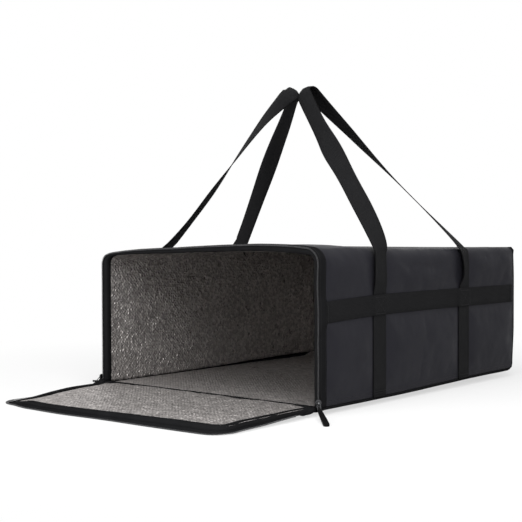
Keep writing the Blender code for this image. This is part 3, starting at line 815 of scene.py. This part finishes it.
rows, distances = swept(edge_line, lambda run: BINDING_SECTION, binding_sway)
flap_edge_tape = loft("flap_edge_tape", rows, distances)
dress(flap_edge_tape, binding_tape, "flap", "binding", "flap_binding")

total = distances[-1]
SKIRT_FREE = 0.021


def skirt_section(run):
    """The zipper's tape as it is cut at one place: it tapers to nothing towards both hinge ends."""
    from_end = min(run, total - run)
    share = clamp((from_end - SKIRT_FREE) / 0.012) * (0.40 + 0.60 * ease((from_end - 0.15) / 0.06))
    broad = ease((run - 0.20) / 0.05) * ease((0.42 - run) / 0.12)
    reach = 0.0024 + (0.0064 + 0.0080 * broad) * share
    drop = 0.0048 - 0.0038 * share + 0.0004 * share * wave((run, 2.0, 0.0), 0.02)
    half_out, half_down = 0.5 * (0.0026 + reach), 0.5 * (0.0054 + drop)
    return ((0.0016, 0.0062), (0.0026, 0.0054), (half_out, half_down - 0.0006), (reach, drop),
            (reach - 0.0001, drop - 0.0006), (half_out - 0.0002, half_down - 0.0013),
            (0.0022, 0.0046), (0.0014, 0.0054))


first = next(i for i, run in enumerate(distances) if run > SKIRT_FREE)
last = len(edge_line) - 1 - first
rows, run_along = swept(edge_line[first:last + 1],
                        lambda run: skirt_section(run + distances[first]), lambda point, run: Vector())
skirt = loft("flap_zipper_tape", rows, run_along)
dress(skirt, binding_tape, "flap", "binding", "flap_zipper_tape")

line, outs = [], []
for row in rows:
    line.append((row[3] + row[4]) / 2 + Vector((0.0, 0.0, 0.0002)))
    out = row[3] - row[1]
    outs.append(Vector((out.x, out.y, 0.0)).normalized() + Vector((0.0, 0.0, 0.3)))
for point, out in zip(line, outs):
    point += Vector((out.x, out.y, 0.0)) * 0.0010
    point.z = max(point.z, 0.0013)
line, outs = line[3:-8], outs[3:-8]
flap_coil = wound_coil("flap_zipper_winding", line, outs, 0.0010)
dress(flap_coil, nylon_coil, "flap", "zipper_coil", "flap_zipper_coil")


# The hinge: the cover's fabric runs on from the bag's floor into the flap, gathered a
# little, and at both ends it bunches into a small gusset where the rim's tape begins.
HINGE_REAR, HINGE_FRONT = -0.2746, -0.2906


def hinge_strip_corner(u, v):
    x = (2 * u - 1) * 0.2085
    y = HINGE_REAR + (HINGE_FRONT - HINGE_REAR) * v
    bulge = math.sin(math.pi * v)
    gather = 0.0005 * bulge * wave((x, 0.0, 0.0), 0.012, 4.0)
    return Vector((x, y, 0.01205 + 0.0007 * bulge + gather))


hinge_strip = cloth_grid("hinge_strip", 240, 14, hinge_strip_corner, (0.417, 0.016))
thicken(hinge_strip, 0.0006)
dress(hinge_strip, binding_tape, None, "binding", "hinge_roll")
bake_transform(hinge_strip)

for side, name in ((-1, "left"), (1, "right")):
    rows = []
    for i in range(25):
        t = i / 24
        y = -0.2800 - 0.034 * t
        bunched = 0.0035 * math.sin(math.pi * min(1.0, t / 0.5)) if side < 0 else 0.0
        middle = Vector((side * (0.2135 - 0.0004 * side - 0.0008 * t), y, 0.0095 - 0.0022 * t + bunched))
        size = 0.0052 * math.sqrt(max(0.02, math.sin(math.pi * (0.10 + 0.86 * t))))
        row = []
        for j in range(20):
            angle = 2 * math.pi * j / 20
            fold = 1 + 0.16 * math.sin(3 * angle + 5 * t) + 0.14 * wave((math.cos(angle), math.sin(angle), t * 5), 0.6)
            point = middle + Vector((math.cos(angle) * size * fold * 0.85, 0.0, math.sin(angle) * size * fold))
            point.z = max(point.z, 0.0016)
            row.append(point)
        rows.append(row)
    gusset = loft(name + "_hinge_gusset", rows)
    dress(gusset, binding_tape, None, "binding")
    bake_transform(gusset)


# Webbing: black ribbed straps 33 mm wide run up each side, held under a side band, and go
# on over the top as the two loops of each handle.
webbing = bpy.data.materials.new("ribbed_webbing")
tree, shader, add = nodes_of(webbing)
laid = add("ShaderNodeUVMap", uv_map="UVMap").outputs["UV"]
place = add("ShaderNodeTexCoord").outputs["Object"]
stretched = add("ShaderNodeMapping", in_Scale=(1.0, 2.6, 1.0))
ribs = add("ShaderNodeTexWave", bands_direction="Y", in_Scale=190.0, in_Distortion=0.3)
picks = add("ShaderNodeTexWave", bands_direction="X", in_Scale=300.0, in_Distortion=0.5)
woven = add("ShaderNodeMath", operation="MULTIPLY")
cloud = add("ShaderNodeTexNoise", in_Scale=30.0, in_Detail=3.0)
fuzz = add("ShaderNodeTexNoise", in_Scale=2500.0, in_Detail=2.0)
join(tree, (laid, stretched.inputs["Vector"]), (laid, ribs.inputs["Vector"]), (laid, picks.inputs["Vector"]),
     (ribs.outputs["Fac"], woven.inputs[0]), (picks.outputs["Fac"], woven.inputs[1]),
     (place, cloud.inputs["Vector"]), (place, fuzz.inputs["Vector"]))
join(tree, (two_tones(tree, add, cloud.outputs["Fac"], (0.0080, 0.0080, 0.0086), (0.0130, 0.0130, 0.0138)),
            shader.inputs["Base Color"]))
join(tree, (spread(tree, add, cloud.outputs["Fac"], 0.62, 0.78), shader.inputs["Roughness"]))
ribbed = bumpy(tree, add, shader, ribs.outputs["Fac"], 0.0006, 0.7)
weave = bumpy(tree, add, shader, woven.outputs["Value"], 0.0004, 0.5, ribbed)
bumpy(tree, add, shader, fuzz.outputs["Fac"], 0.0002, 0.4, weave)
settle(shader, in_Specular_IOR_Level=0.04)

WEBBING = 0.0015
HANDLE_WIDTH = 0.0322
LEG_START = 0.1500
FRONT_STRAP, REAR_STRAP = STRAP_PLACES
STRAP_SECTION = ((-1, 0.4), (-0.97, 1), (-0.5, 1), (0, 1), (0.5, 1), (0.97, 1), (1, 0.4))


def ribbon(name, centres, widths, width, cups=None):
    """A flat strap through a row of centres; widths give the direction of its width, cups how far its edges bend in.
    Its UV map is in metres along and across it."""
    rows = []
    for i, (centre, across) in enumerate(zip(centres, widths)):
        ahead = centres[min(i + 1, len(centres) - 1)] - centres[max(i - 1, 0)]
        across = (across - ahead.normalized() * across.dot(ahead.normalized())).normalized()
        up = ahead.normalized().cross(across)
        row = []
        half, thick = width / 2, WEBBING / 2
        under = [(half * a, -thick * b) for a, b in STRAP_SECTION]
        for a, b in under + [(-a, -b) for a, b in under]:
            bent = cups[i] * (a / half) ** 2 if cups else 0.0
            row.append(centre + across * a + up * (b + bent))
        rows.append(row)
    strap = loft(name, rows, runs_along(centres))
    for item in strap.data.uv_layers["UVMap"].data:
        j = item.uv[1]
        item.uv[1] = (j - 1 if j <= 7 else 14 - j) / 5.0 * width
    return strap


def cubic(points, t):
    a, b, c, d = points
    return a * (1 - t) ** 3 + b * 3 * t * (1 - t) ** 2 + c * 3 * t * t * (1 - t) + d * t ** 3


STRANDS = {
    "right_front": (((0.2245, -0.1366, 0.2223), (0.2258, -0.1376, 0.2523), (0.1073, -0.0839, 0.3619),
                     (0.0185, -0.0575, 0.4758)), (-4.0, 20.0, 37.8, 41.4, 99.7, 102.1)),
    "right_rear": (((0.2229, 0.1078, 0.2223), (0.1876, 0.1132, 0.2570), (0.1032, 0.0454, 0.3549),
                    (0.0216, -0.0310, 0.4827)), (-11.0, -21.7, -29.9, -34.3, -61.1, -90.4)),
    "left_front": (((-0.2229, -0.1345, 0.2223), (-0.1548, -0.1044, 0.2949), (-0.1121, -0.0499, 0.4126),
                    (-0.0197, -0.0624, 0.4754)), (12.0, 25.9, 29.0, 48.6, 63.9, 78.6)),
    "left_rear": (((-0.2229, 0.0569, 0.2223), (-0.1702, 0.0407, 0.2953), (-0.0904, -0.0079, 0.3898),
                   (-0.0170, -0.0301, 0.4787)), (-100.1, -102.2, -98.9, -92.9, -103.1, -112.6)),
}
LEG_POINTS = {
    "right_front": ((FRONT_STRAP, 0.2211, 0.0), (-0.1343, 0.2212, 0.0), (-0.1364, 0.2250, -2.0),
                    (-0.1370, 0.2252, -4.0)),
    "right_rear": ((REAR_STRAP, 0.2211, 0.0), (0.1110, 0.2212, -2.0), (0.1116, 0.2245, -16.0),
                   (0.1105, 0.2250, -15.0)),
    "left_front": ((FRONT_STRAP, 0.2211, 0.0), (FRONT_STRAP, 0.2212, 0.0), (FRONT_STRAP, 0.2248, 3.0),
                   (-0.1326, 0.2252, 8.0)),
    "left_rear": ((REAR_STRAP, 0.2211, 0.0), (0.1060, 0.2212, -4.0), (0.0920, 0.2270, -34.0),
                  (0.0700, 0.2300, -80.0)),
}
LEG_HEIGHTS = (LEG_START, 0.1640, 0.1820, 0.2050)


def smooth_line(knots, count):
    """A smooth line through a few knots, with count even steps in the knots' numbers."""
    knots = [np.array(k, dtype=float) for k in knots]
    padded = [2 * knots[0] - knots[1]] + knots + [2 * knots[-1] - knots[-2]]
    out = []
    for i in range(count + 1):
        s = i / count * (len(knots) - 1)
        k = min(int(s), len(knots) - 2)
        t = s - k
        a, b, c, d = padded[k:k + 4]
        out.append(0.5 * (2 * b + (c - a) * t + (2 * a - 5 * b + 4 * c - d) * t * t + (3 * b - a - 3 * c + d) * t ** 3))
    return out


def strand_line(key):
    """Centres and width directions of one strand: its free leg, then its run up to the top."""
    side = 1 if key.startswith("right") else -1
    control, angles = STRANDS[key]
    control = [Vector(p) for p in control]
    knots = [(side * x, y, z, a) for (y, x, a), z in zip(LEG_POINTS[key], LEG_HEIGHTS)]
    first = cubic(control, 0.0)
    knots.append((first.x, first.y, first.z, angles[0]))
    upper = cubic(control, 0.06)
    knots.append((upper.x, upper.y, upper.z, angles[0] + (angles[1] - angles[0]) * 0.3))
    leg = smooth_line(knots, 36)
    centres = [Vector(k[:3]) for k in leg]
    turns = [k[3] for k in leg]
    spread_out = smooth_line([(a,) for a in angles], 60)
    for i in range(1, 61):
        t = i / 60
        if t > 0.07:
            centres.append(cubic(control, t))
            turns.append(float(spread_out[i][0]))
    widths = [Vector((side * math.sin(math.radians(a)), math.cos(math.radians(a)), 0.0)) for a in turns]
    return centres, widths


CUP = 0.0065
for side, name in SIDES:
    front_line, front_widths = strand_line(name + "_front")
    rear_line, rear_widths = strand_line(name + "_rear")
    a, b = front_line[-1], rear_line[-1]
    up_a = (front_line[-1] - front_line[-2]).normalized()
    up_b = (rear_line[-1] - rear_line[-2]).normalized()
    reach = (b - a).length * 0.66
    top = [a, a + up_a * reach, b + up_b * reach, b]
    arch_line = [cubic(top, i / 16) for i in range(1, 16)]
    wa, wb = front_widths[-1], rear_widths[-1]
    if wa.dot(wb) < 0:
        wb = -wb
        rear_widths = [-w for w in rear_widths]
    wa, wb = (wa - up_a * wa.dot(up_a)).normalized(), (wb - up_b * wb.dot(up_b)).normalized()
    arch_widths = []
    for i in range(1, 16):
        level = Vector((wa.x, 0.0, 0.0)).normalized() * 0.45 * math.sin(math.pi * i / 16)
        arch_widths.append((wa.lerp(wb, i / 16) + level).normalized())
    centres = front_line + arch_line + rear_line[::-1]
    widths = front_widths + arch_widths + rear_widths[::-1]
    middle = (len(centres) - 1) / 2
    cups = [CUP * side * (1 - ease(abs(i - middle) / 20)) for i in range(len(centres))]
    handle = ribbon(name + "_handle_webbing", centres, widths, HANDLE_WIDTH, cups)
    dress(handle, webbing, None, "webbing", name + "_handle")
    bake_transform(handle)
    for y, where in ((FRONT_STRAP, "front"), (REAR_STRAP, "rear")):
        centres = [Vector((side * (0.2210 + 0.00015 * wave((y, 0.0, z), 0.03)), y, z))
                   for z in np.linspace(slump((side * 0.22, y, 0.0134)).z, LEG_START, 30)]
        strap = ribbon(name + "_" + where + "_strap_webbing", centres, [Vector((0.0, 1.0, 0.0))] * 30, STRAP_WIDTH)
        dress(strap, webbing, "bag", "webbing", name + "_" + where + "_strap")


# Side bands: one length of the same webbing lies level along each side. It starts under
# the front rim's tape, steps over both straps, and ends in the rear seam.
BAND_WIDTH = BAND_HIGH - BAND_LOW
BAND_DROP = 0.0042


def band_drop(y):
    """How much a side band's front end hangs down at depth y."""
    return BAND_DROP * clamp(1 - (y - MARGIN_REAR) / 0.15) ** 1.3


def band_line(side):
    """Centres of a side band from its front end to its rear end."""
    centres = []
    count = 150
    for i in range(count + 1):
        y = -0.2735 + (0.2745 + 0.2735) * i / count
        over = 0.0
        for strap in STRAP_PLACES:
            over = max(over, ease((STRAP_WIDTH / 2 + 0.0034 - abs(y - strap)) / 0.0030))
        sag = 0.0010 * (1 - abs(y) / 0.28)
        x = 0.22115 + 0.0018 * over + 0.00012 * wave((side, y, 0.0), 0.02)
        centres.append(Vector((side * x, y, (BAND_LOW + BAND_HIGH) / 2 - band_drop(y) + sag)))
    return centres


for side, name in SIDES:
    centres = band_line(side)
    band = ribbon(name + "_side_band_webbing", centres, [Vector((0.0, 0.0, 1.0))] * len(centres), BAND_WIDTH)
    dress(band, webbing, "bag", "webbing", name + "_side_band")


# Zip sliders: a small cast and nickel plated slider at the foot of each side of the rim,
# with a wire bail through its crown and a long moulded rubber tab lying on the floor.
black_nickel = finish("black_nickel", ((500.0, 3.0), (1800.0, 2.0)),
                      ((0.035, 0.035, 0.037), (0.07, 0.07, 0.073)), (0.22, 0.36), ((1, 0.00008, 0.3),), metallic=1.0)
tab_rubber = finish("tab_rubber", ((160.0, 3.0), (3000.0, 2.0)),
                    ((0.004, 0.004, 0.0042), (0.007, 0.007, 0.0073)), (0.38, 0.5), ((1, 0.0001, 0.4),), specular=0.03)

COIL_CENTRE = FRONT - 0.0018
SLIDER_BASE = 0.0125
SLIDER_MIDDLE = 0.0055
EYE_REACH = 0.00558
BAIL_HALF, BAIL_LENGTH, WIRE = 0.0023, 0.0112, 0.00062
TAB_LENGTH = 0.0660


def slab(outline, low, high, axis=1):
    """A bmesh plate drawn from a flat outline, standing between two distances along an axis."""
    bm = bmesh.new()
    corners = []
    for a, b in outline:
        place = [a, b]
        place.insert(axis, low)
        corners.append(bm.verts.new(place))
    face = bm.faces.new(corners)
    drawn = bmesh.ops.extrude_face_region(bm, geom=[face])["geom"]
    shift = [0.0, 0.0, 0.0]
    shift[axis] = high - low
    bmesh.ops.translate(bm, vec=shift, verts=[item for item in drawn if isinstance(item, bmesh.types.BMVert)])
    bmesh.ops.recalc_face_normals(bm, faces=bm.faces)
    return bm


def soften(bm, width, segments=2):
    """Round the sharp edges of a bmesh."""
    sharp = [edge for edge in bm.edges if edge.calc_face_angle(0.0) > math.radians(35)]
    bmesh.ops.bevel(bm, geom=sharp, offset=width, segments=segments, affect="EDGES", profile=0.5,
                    material=-1, clamp_overlap=True)


def merge_in(target, other):
    """Add one bmesh to another."""
    mesh = bpy.data.meshes.new("merge")
    other.to_mesh(mesh)
    other.free()
    target.from_mesh(mesh)
    bpy.data.meshes.remove(mesh)


for side, name, out, turned in ((1, "right", Vector((math.sqrt(0.5), -math.sqrt(0.5), 0.0)), 0.5),
                                (-1, "left", Vector((-1.0, 0.0, 0.0)), -80.0)):
    up = Vector((0.0, 0.0, 1.0))
    across = out.cross(up)
    stand = Matrix((across, out, up)).transposed().to_4x4()
    stand.translation = Vector((side * BAG_HALF, COIL_CENTRE, SLIDER_BASE))
    slider = slab(((-0.0028, 0.0), (0.0028, 0.0), (0.0034, 0.0030), (0.0042, 0.0060), (0.0042, 0.0084),
                   (0.0030, 0.0104), (0.0012, 0.0110), (-0.0012, 0.0110), (-0.0030, 0.0104), (-0.0042, 0.0084),
                   (-0.0042, 0.0060), (-0.0034, 0.0030)), 0.0024, 0.0036)
    soften(slider, 0.00035)
    for end in (-1, 1):
        flange = slab(((0.0022, 0.0004), (0.0028, 0.0004), (0.0034, 0.0030), (0.0041, 0.0060), (0.0041, 0.0082),
                       (0.0034, 0.0082), (0.0034, 0.0060), (0.0028, 0.0030)), 0.0010, 0.0030)
        if end < 0:
            bmesh.ops.scale(flange, vec=(-1.0, 1.0, 1.0), verts=flange.verts)
            bmesh.ops.recalc_face_normals(flange, faces=flange.faces)
        soften(flange, 0.0002, 1)
        merge_in(slider, flange)
    profile = [(0.0034, 0.0021), (0.0052, 0.0023), (0.0064, 0.0032), (0.0070, 0.0048), (0.0070, 0.0064),
               (0.0062, 0.0078), (0.0050, 0.0087), (0.0034, 0.0090)]
    inner = [(0.0034, 0.0078), (0.0048, 0.0076), (0.0058, 0.0070), (0.0062, 0.0062), (0.0062, 0.0050),
             (0.0057, 0.0041), (0.0048, 0.0035), (0.0034, 0.0033)]
    merge_in(slider, slab(profile + inner, -0.0012, 0.0012, axis=0))
    bmesh.ops.transform(slider, matrix=stand, verts=slider.verts)
    slider = from_bmesh(name + "_zip_slider", slider)
    slider.data.shade_flat()
    dress(slider, black_nickel, name + "_slider", "slider_metal", name + "_slider")

    pivot = Vector((0.0, EYE_REACH, SLIDER_MIDDLE))
    hang = math.radians(40)
    reach = Vector((0.0, math.cos(hang), -math.sin(hang)))
    wide = Vector((1.0, 0.0, 0.0))
    points = []
    bend = 0.0013
    for cx, cy, first in ((BAIL_HALF, 0.0, -90), (BAIL_HALF, BAIL_LENGTH, 0), (-BAIL_HALF, BAIL_LENGTH, 90),
                          (-BAIL_HALF, 0.0, 180)):
        mx = cx - math.copysign(bend, cx)
        my = cy + bend if cy == 0.0 else cy - bend
        for i in range(5):
            angle = math.radians(first + 90 * i / 4)
            local = pivot + wide * (mx + bend * math.cos(angle)) + reach * (my + bend * math.sin(angle))
            points.append(stand @ local)
    bail = round_cord(name + "_pull_wire", points, WIRE, closed=True, sides=2)
    dress(bail, black_nickel, name + "_pull", "slider_metal", name + "_pull_bail")

    end = pivot + reach * BAIL_LENGTH
    dip = math.asin((SLIDER_BASE + end.z - 0.0014) / TAB_LENGTH)
    start = end + Vector((0.0, WIRE + 0.0003, 0.0))
    if side < 0:
        start += Vector((-BAIL_HALF, 0.0025, 0.0))
    outline = [(-0.0020, -0.0026), (0.0020, -0.0026), (0.0028, 0.0010), (0.0032, 0.0100), (0.0042, 0.0440)]
    for i in range(1, 12):
        angle = math.pi * i / 12
        outline.append((0.0044 * math.cos(angle), TAB_LENGTH - 0.0044 + 0.0044 * math.sin(angle)))
    outline += [(-0.0042, 0.0440), (-0.0032, 0.0100), (-0.0028, 0.0010)]
    tab = slab(outline, -0.0013, 0.0016, axis=2)
    top = max(tab.faces, key=lambda face: face.calc_center_median().z)
    bmesh.ops.inset_region(tab, faces=[top], thickness=0.0008, depth=0.0)
    bmesh.ops.inset_region(tab, faces=[top], thickness=0.0004, depth=-0.00045)
    bmesh.ops.bevel(tab, geom=[edge for edge in tab.edges if edge.calc_face_angle(0.0) > math.radians(60)
                               and edge.calc_length() > 0.0002],
                    offset=0.0003, segments=2, affect="EDGES", profile=0.5, material=-1, clamp_overlap=True)
    ridge = slab([(-0.0008, 0.0060), (0.0008, 0.0060), (0.0011, 0.0490), (0.0, 0.0505), (-0.0011, 0.0490)],
                 0.0004, 0.0017, axis=2)
    soften(ridge, 0.0003, 1)
    merge_in(tab, ridge)
    bmesh.ops.transform(tab, verts=tab.verts, matrix=stand @ Matrix.Translation(start)
                        @ Matrix.Rotation(math.radians(turned), 4, "Z") @ Matrix.Rotation(-dip, 4, "X"))
    tab = from_bmesh(name + "_pull_tab_moulding", tab)
    tab.data.shade_flat()
    dress(tab, tab_rubber, name + "_pull", "pull_rubber", name + "_pull_tab")


# Stitching: black bonded thread. Double rows hold the rim's tape, the lower edges and the
# flap's edge, boxed crosses hold the bands to the straps, and bar tacks hold the bands' ends.
thread = finish("bonded_thread", ((300.0, 2.0),), ((0.008, 0.008, 0.0086), (0.014, 0.014, 0.015)),
                (0.35, 0.5), ((0, 0.0001, 0.3),), specular=0.12)

STITCH, PITCH, THREAD = 0.0026, 0.0034, 0.00042
STRAP_FACE, BAND_FACE = 0.22195, 0.22375


def sew(bm, line, normal, pitch=PITCH):
    """Lay stitches along a line on the surface whose outward direction is given."""
    row = even_steps(line, pitch)
    stretch = bmesh.new()
    for number, (a, b) in enumerate(zip(row, row[1:]), 1):
        along = (b - a).normalized()
        out = normal if isinstance(normal, Vector) else normal((a + b) / 2)
        out = (out - along * out.dot(along)).normalized()
        turn = Matrix((along, out.cross(along), out)).transposed().to_4x4()
        size = Matrix.Diagonal((STITCH / 2, THREAD, THREAD * 0.75, 1.0))
        bmesh.ops.create_uvsphere(stretch, u_segments=4, v_segments=5, radius=1.0,
                                  matrix=Matrix.Translation((a + b) / 2) @ turn @ size
                                  @ Matrix.Rotation(math.pi / 2, 4, "Y"))
        if number % 30 == 0:
            merge_in(bm, stretch)
            stretch = bmesh.new()
    merge_in(bm, stretch)


def arch_out(place):
    """Which way is out of the sides and top of the bag."""
    if place.z < 0.21:
        return Vector((math.copysign(1.0, place.x), 0.0, 0.0))
    if abs(place.x) < 0.19:
        return Vector((0.0, 0.0, 1.0))
    return Vector((place.x - math.copysign(0.192, place.x), 0.0, place.z - 0.202)).normalized()


seams = bmesh.new()
for y, lift in ((-0.2768, 0.0016), (-0.2668, 0.0018)):
    line = []
    for i in range(161):
        share = 0.015 + 0.97 * i / 160
        point = arch_place(share, y, lift)
        point.x += margin_lift(point, y) + rim_sway(point)
        line.append(point)
    sew(seams, line, arch_out)
for side in (1, -1):
    out = Vector((side, 0.0, 0.0))
    for z in (0.0162, 0.0205):
        line = [slump((side * (BAG_HALF + 0.0001), y, z)) for y in np.linspace(-0.262, 0.258, 60)]
        sew(seams, line, out)
    for strap in STRAP_PLACES:
        face = side * BAND_FACE
        low = band_drop(strap)
        z0, z1 = BAND_LOW + 0.003 - low, BAND_HIGH - 0.003 - low
        y0, y1 = strap - 0.0125, strap + 0.0125
        corners = [Vector((face, y, z)) for y, z in ((y0, z0), (y1, z0), (y1, z1), (y0, z1))]
        for a, b in ((0, 1), (1, 2), (2, 3), (3, 0), (0, 2), (1, 3)):
            sew(seams, [corners[a], corners[b]], out)
        for z in (0.0165, 0.0200):
            sew(seams, [Vector((side * STRAP_FACE, strap + end, z)) for end in (-0.0145, 0.0145)], out)
    for y in (-0.2628, 0.2700):
        base = BAND_LOW - (BAND_DROP if y < 0 else 0.0)
        line = []
        for i in range(19):
            line.append(Vector((side * 0.2222, y + (0.0012 if i % 2 else -0.0012), base + 0.002 + 0.026 * i / 18)))
        for a, b in zip(line, line[1:]):
            sew(seams, [a, b], out, pitch=0.003)
seams = from_bmesh("bag_stitching", seams)
dress(seams, thread, "bag", "binding")

seams = bmesh.new()
up = Vector((0.0, 0.0, 1.0))
for inset, height in ((-0.0084, 0.0128), (-0.0058, 0.0133)):
    rows, _ = swept(edge_line, lambda run: ((inset, height),), binding_sway)
    sew(seams, [row[0] for row in rows[1:-1]], up)
flap_seams = from_bmesh("flap_stitching", seams)
dress(flap_seams, thread, "flap", "binding")


# The floor, the light and the camera of the photograph.
floor = bmesh.new()
bmesh.ops.create_grid(floor, x_segments=1, y_segments=1, size=12.0)
floor = from_bmesh("floor", floor)
paper = bpy.data.materials.new("paper")
tree, shader, add = nodes_of(paper)
settle(shader, in_Base_Color=(0.80, 0.80, 0.80, 1.0), in_Roughness=0.9, in_Specular_IOR_Level=0.1)
place = add("ShaderNodeTexCoord").outputs["Object"]
far = add("ShaderNodeVectorMath", operation="LENGTH")
fade = add("ShaderNodeMapRange", interpolation_type="SMOOTHSTEP", in_From_Min=0.30, in_From_Max=0.95, in_To_Min=0.62)
glow = add("ShaderNodeEmission")
seen_only = add("ShaderNodeLightPath")
shown = add("ShaderNodeMath", operation="MULTIPLY")
blend = add("ShaderNodeMixShader")
join(tree, (place, far.inputs[0]), (far.outputs["Value"], fade.inputs["Value"]),
     (fade.outputs["Result"], shown.inputs[0]), (seen_only.outputs["Is Camera Ray"], shown.inputs[1]),
     (shown.outputs["Value"], blend.inputs[0]), (shader.outputs[0], blend.inputs[1]),
     (glow.outputs[0], blend.inputs[2]), (blend.outputs[0], tree.nodes["Material Output"].inputs["Surface"]))
floor.data.materials.append(paper)

scene = bpy.context.scene
scene.view_settings.view_transform = "Standard"
world = bpy.data.worlds.new("studio")
scene.world = world
tree, sky, add = nodes_of(world, "Background")
settle(sky, in_Color=(1.0, 1.0, 1.0, 1.0), in_Strength=0.45)
white = add("ShaderNodeBackground", in_Color=(1.0, 1.0, 1.0, 1.0), in_Strength=1.0)
path = add("ShaderNodeLightPath")
first = add("ShaderNodeMath", operation="MAXIMUM")
second = add("ShaderNodeMath", operation="MAXIMUM")
either = add("ShaderNodeMixShader")
join(tree, (path.outputs["Is Camera Ray"], first.inputs[0]), (path.outputs["Is Glossy Ray"], first.inputs[1]),
     (first.outputs["Value"], second.inputs[0]), (path.outputs["Is Transmission Ray"], second.inputs[1]),
     (second.outputs["Value"], either.inputs[0]), (sky.outputs[0], either.inputs[1]),
     (white.outputs[0], either.inputs[2]), (either.outputs[0], tree.nodes["World Output"].inputs["Surface"]))


def lamp(name, place, target, size, power):
    light = bpy.data.lights.new(name, "AREA")
    light.shape = "SQUARE"
    light.size = size
    light.energy = power
    lit = bpy.data.objects.new(name, light)
    scene.collection.objects.link(lit)
    lit.location = place
    lit.rotation_euler = (Vector(target) - Vector(place)).to_track_quat("-Z", "Y").to_euler()


lamp("overhead", (0.5, -0.9, 2.2), (0.0, -0.1, 0.1), 1.6, 32.0)
lamp("right_fill", (1.15, -0.95, 0.85), (0.18, -0.25, 0.15), 0.7, 11.0)
lamp("front_fill", (-0.25, -2.5, 0.9), (0.0, -0.1, 0.1), 1.2, 34.0)

FOCAL_PIXELS, PHOTO_PIXELS = 1106, 522
camera = bpy.data.cameras.new("camera")
camera.sensor_width = 36.0
camera.lens = FOCAL_PIXELS * camera.sensor_width / PHOTO_PIXELS
camera.clip_start = 0.01
seen = bpy.data.objects.new("camera", camera)
scene.collection.objects.link(seen)
yaw, pitch, roll = math.radians(-40.28), math.radians(-1.41), math.radians(-0.15)
forward = Vector((math.sin(yaw) * math.cos(pitch), math.cos(yaw) * math.cos(pitch), math.sin(pitch)))
right = Vector((math.cos(yaw), -math.sin(yaw), 0.0))
upright = right.cross(forward)
right, upright = (right * math.cos(roll) + upright * math.sin(roll), upright * math.cos(roll) - right * math.sin(roll))
seen.matrix_world = Matrix((right, upright, -forward)).transposed().to_4x4()
seen.location = (1.137, -1.484, 0.251)
scene.camera = seen
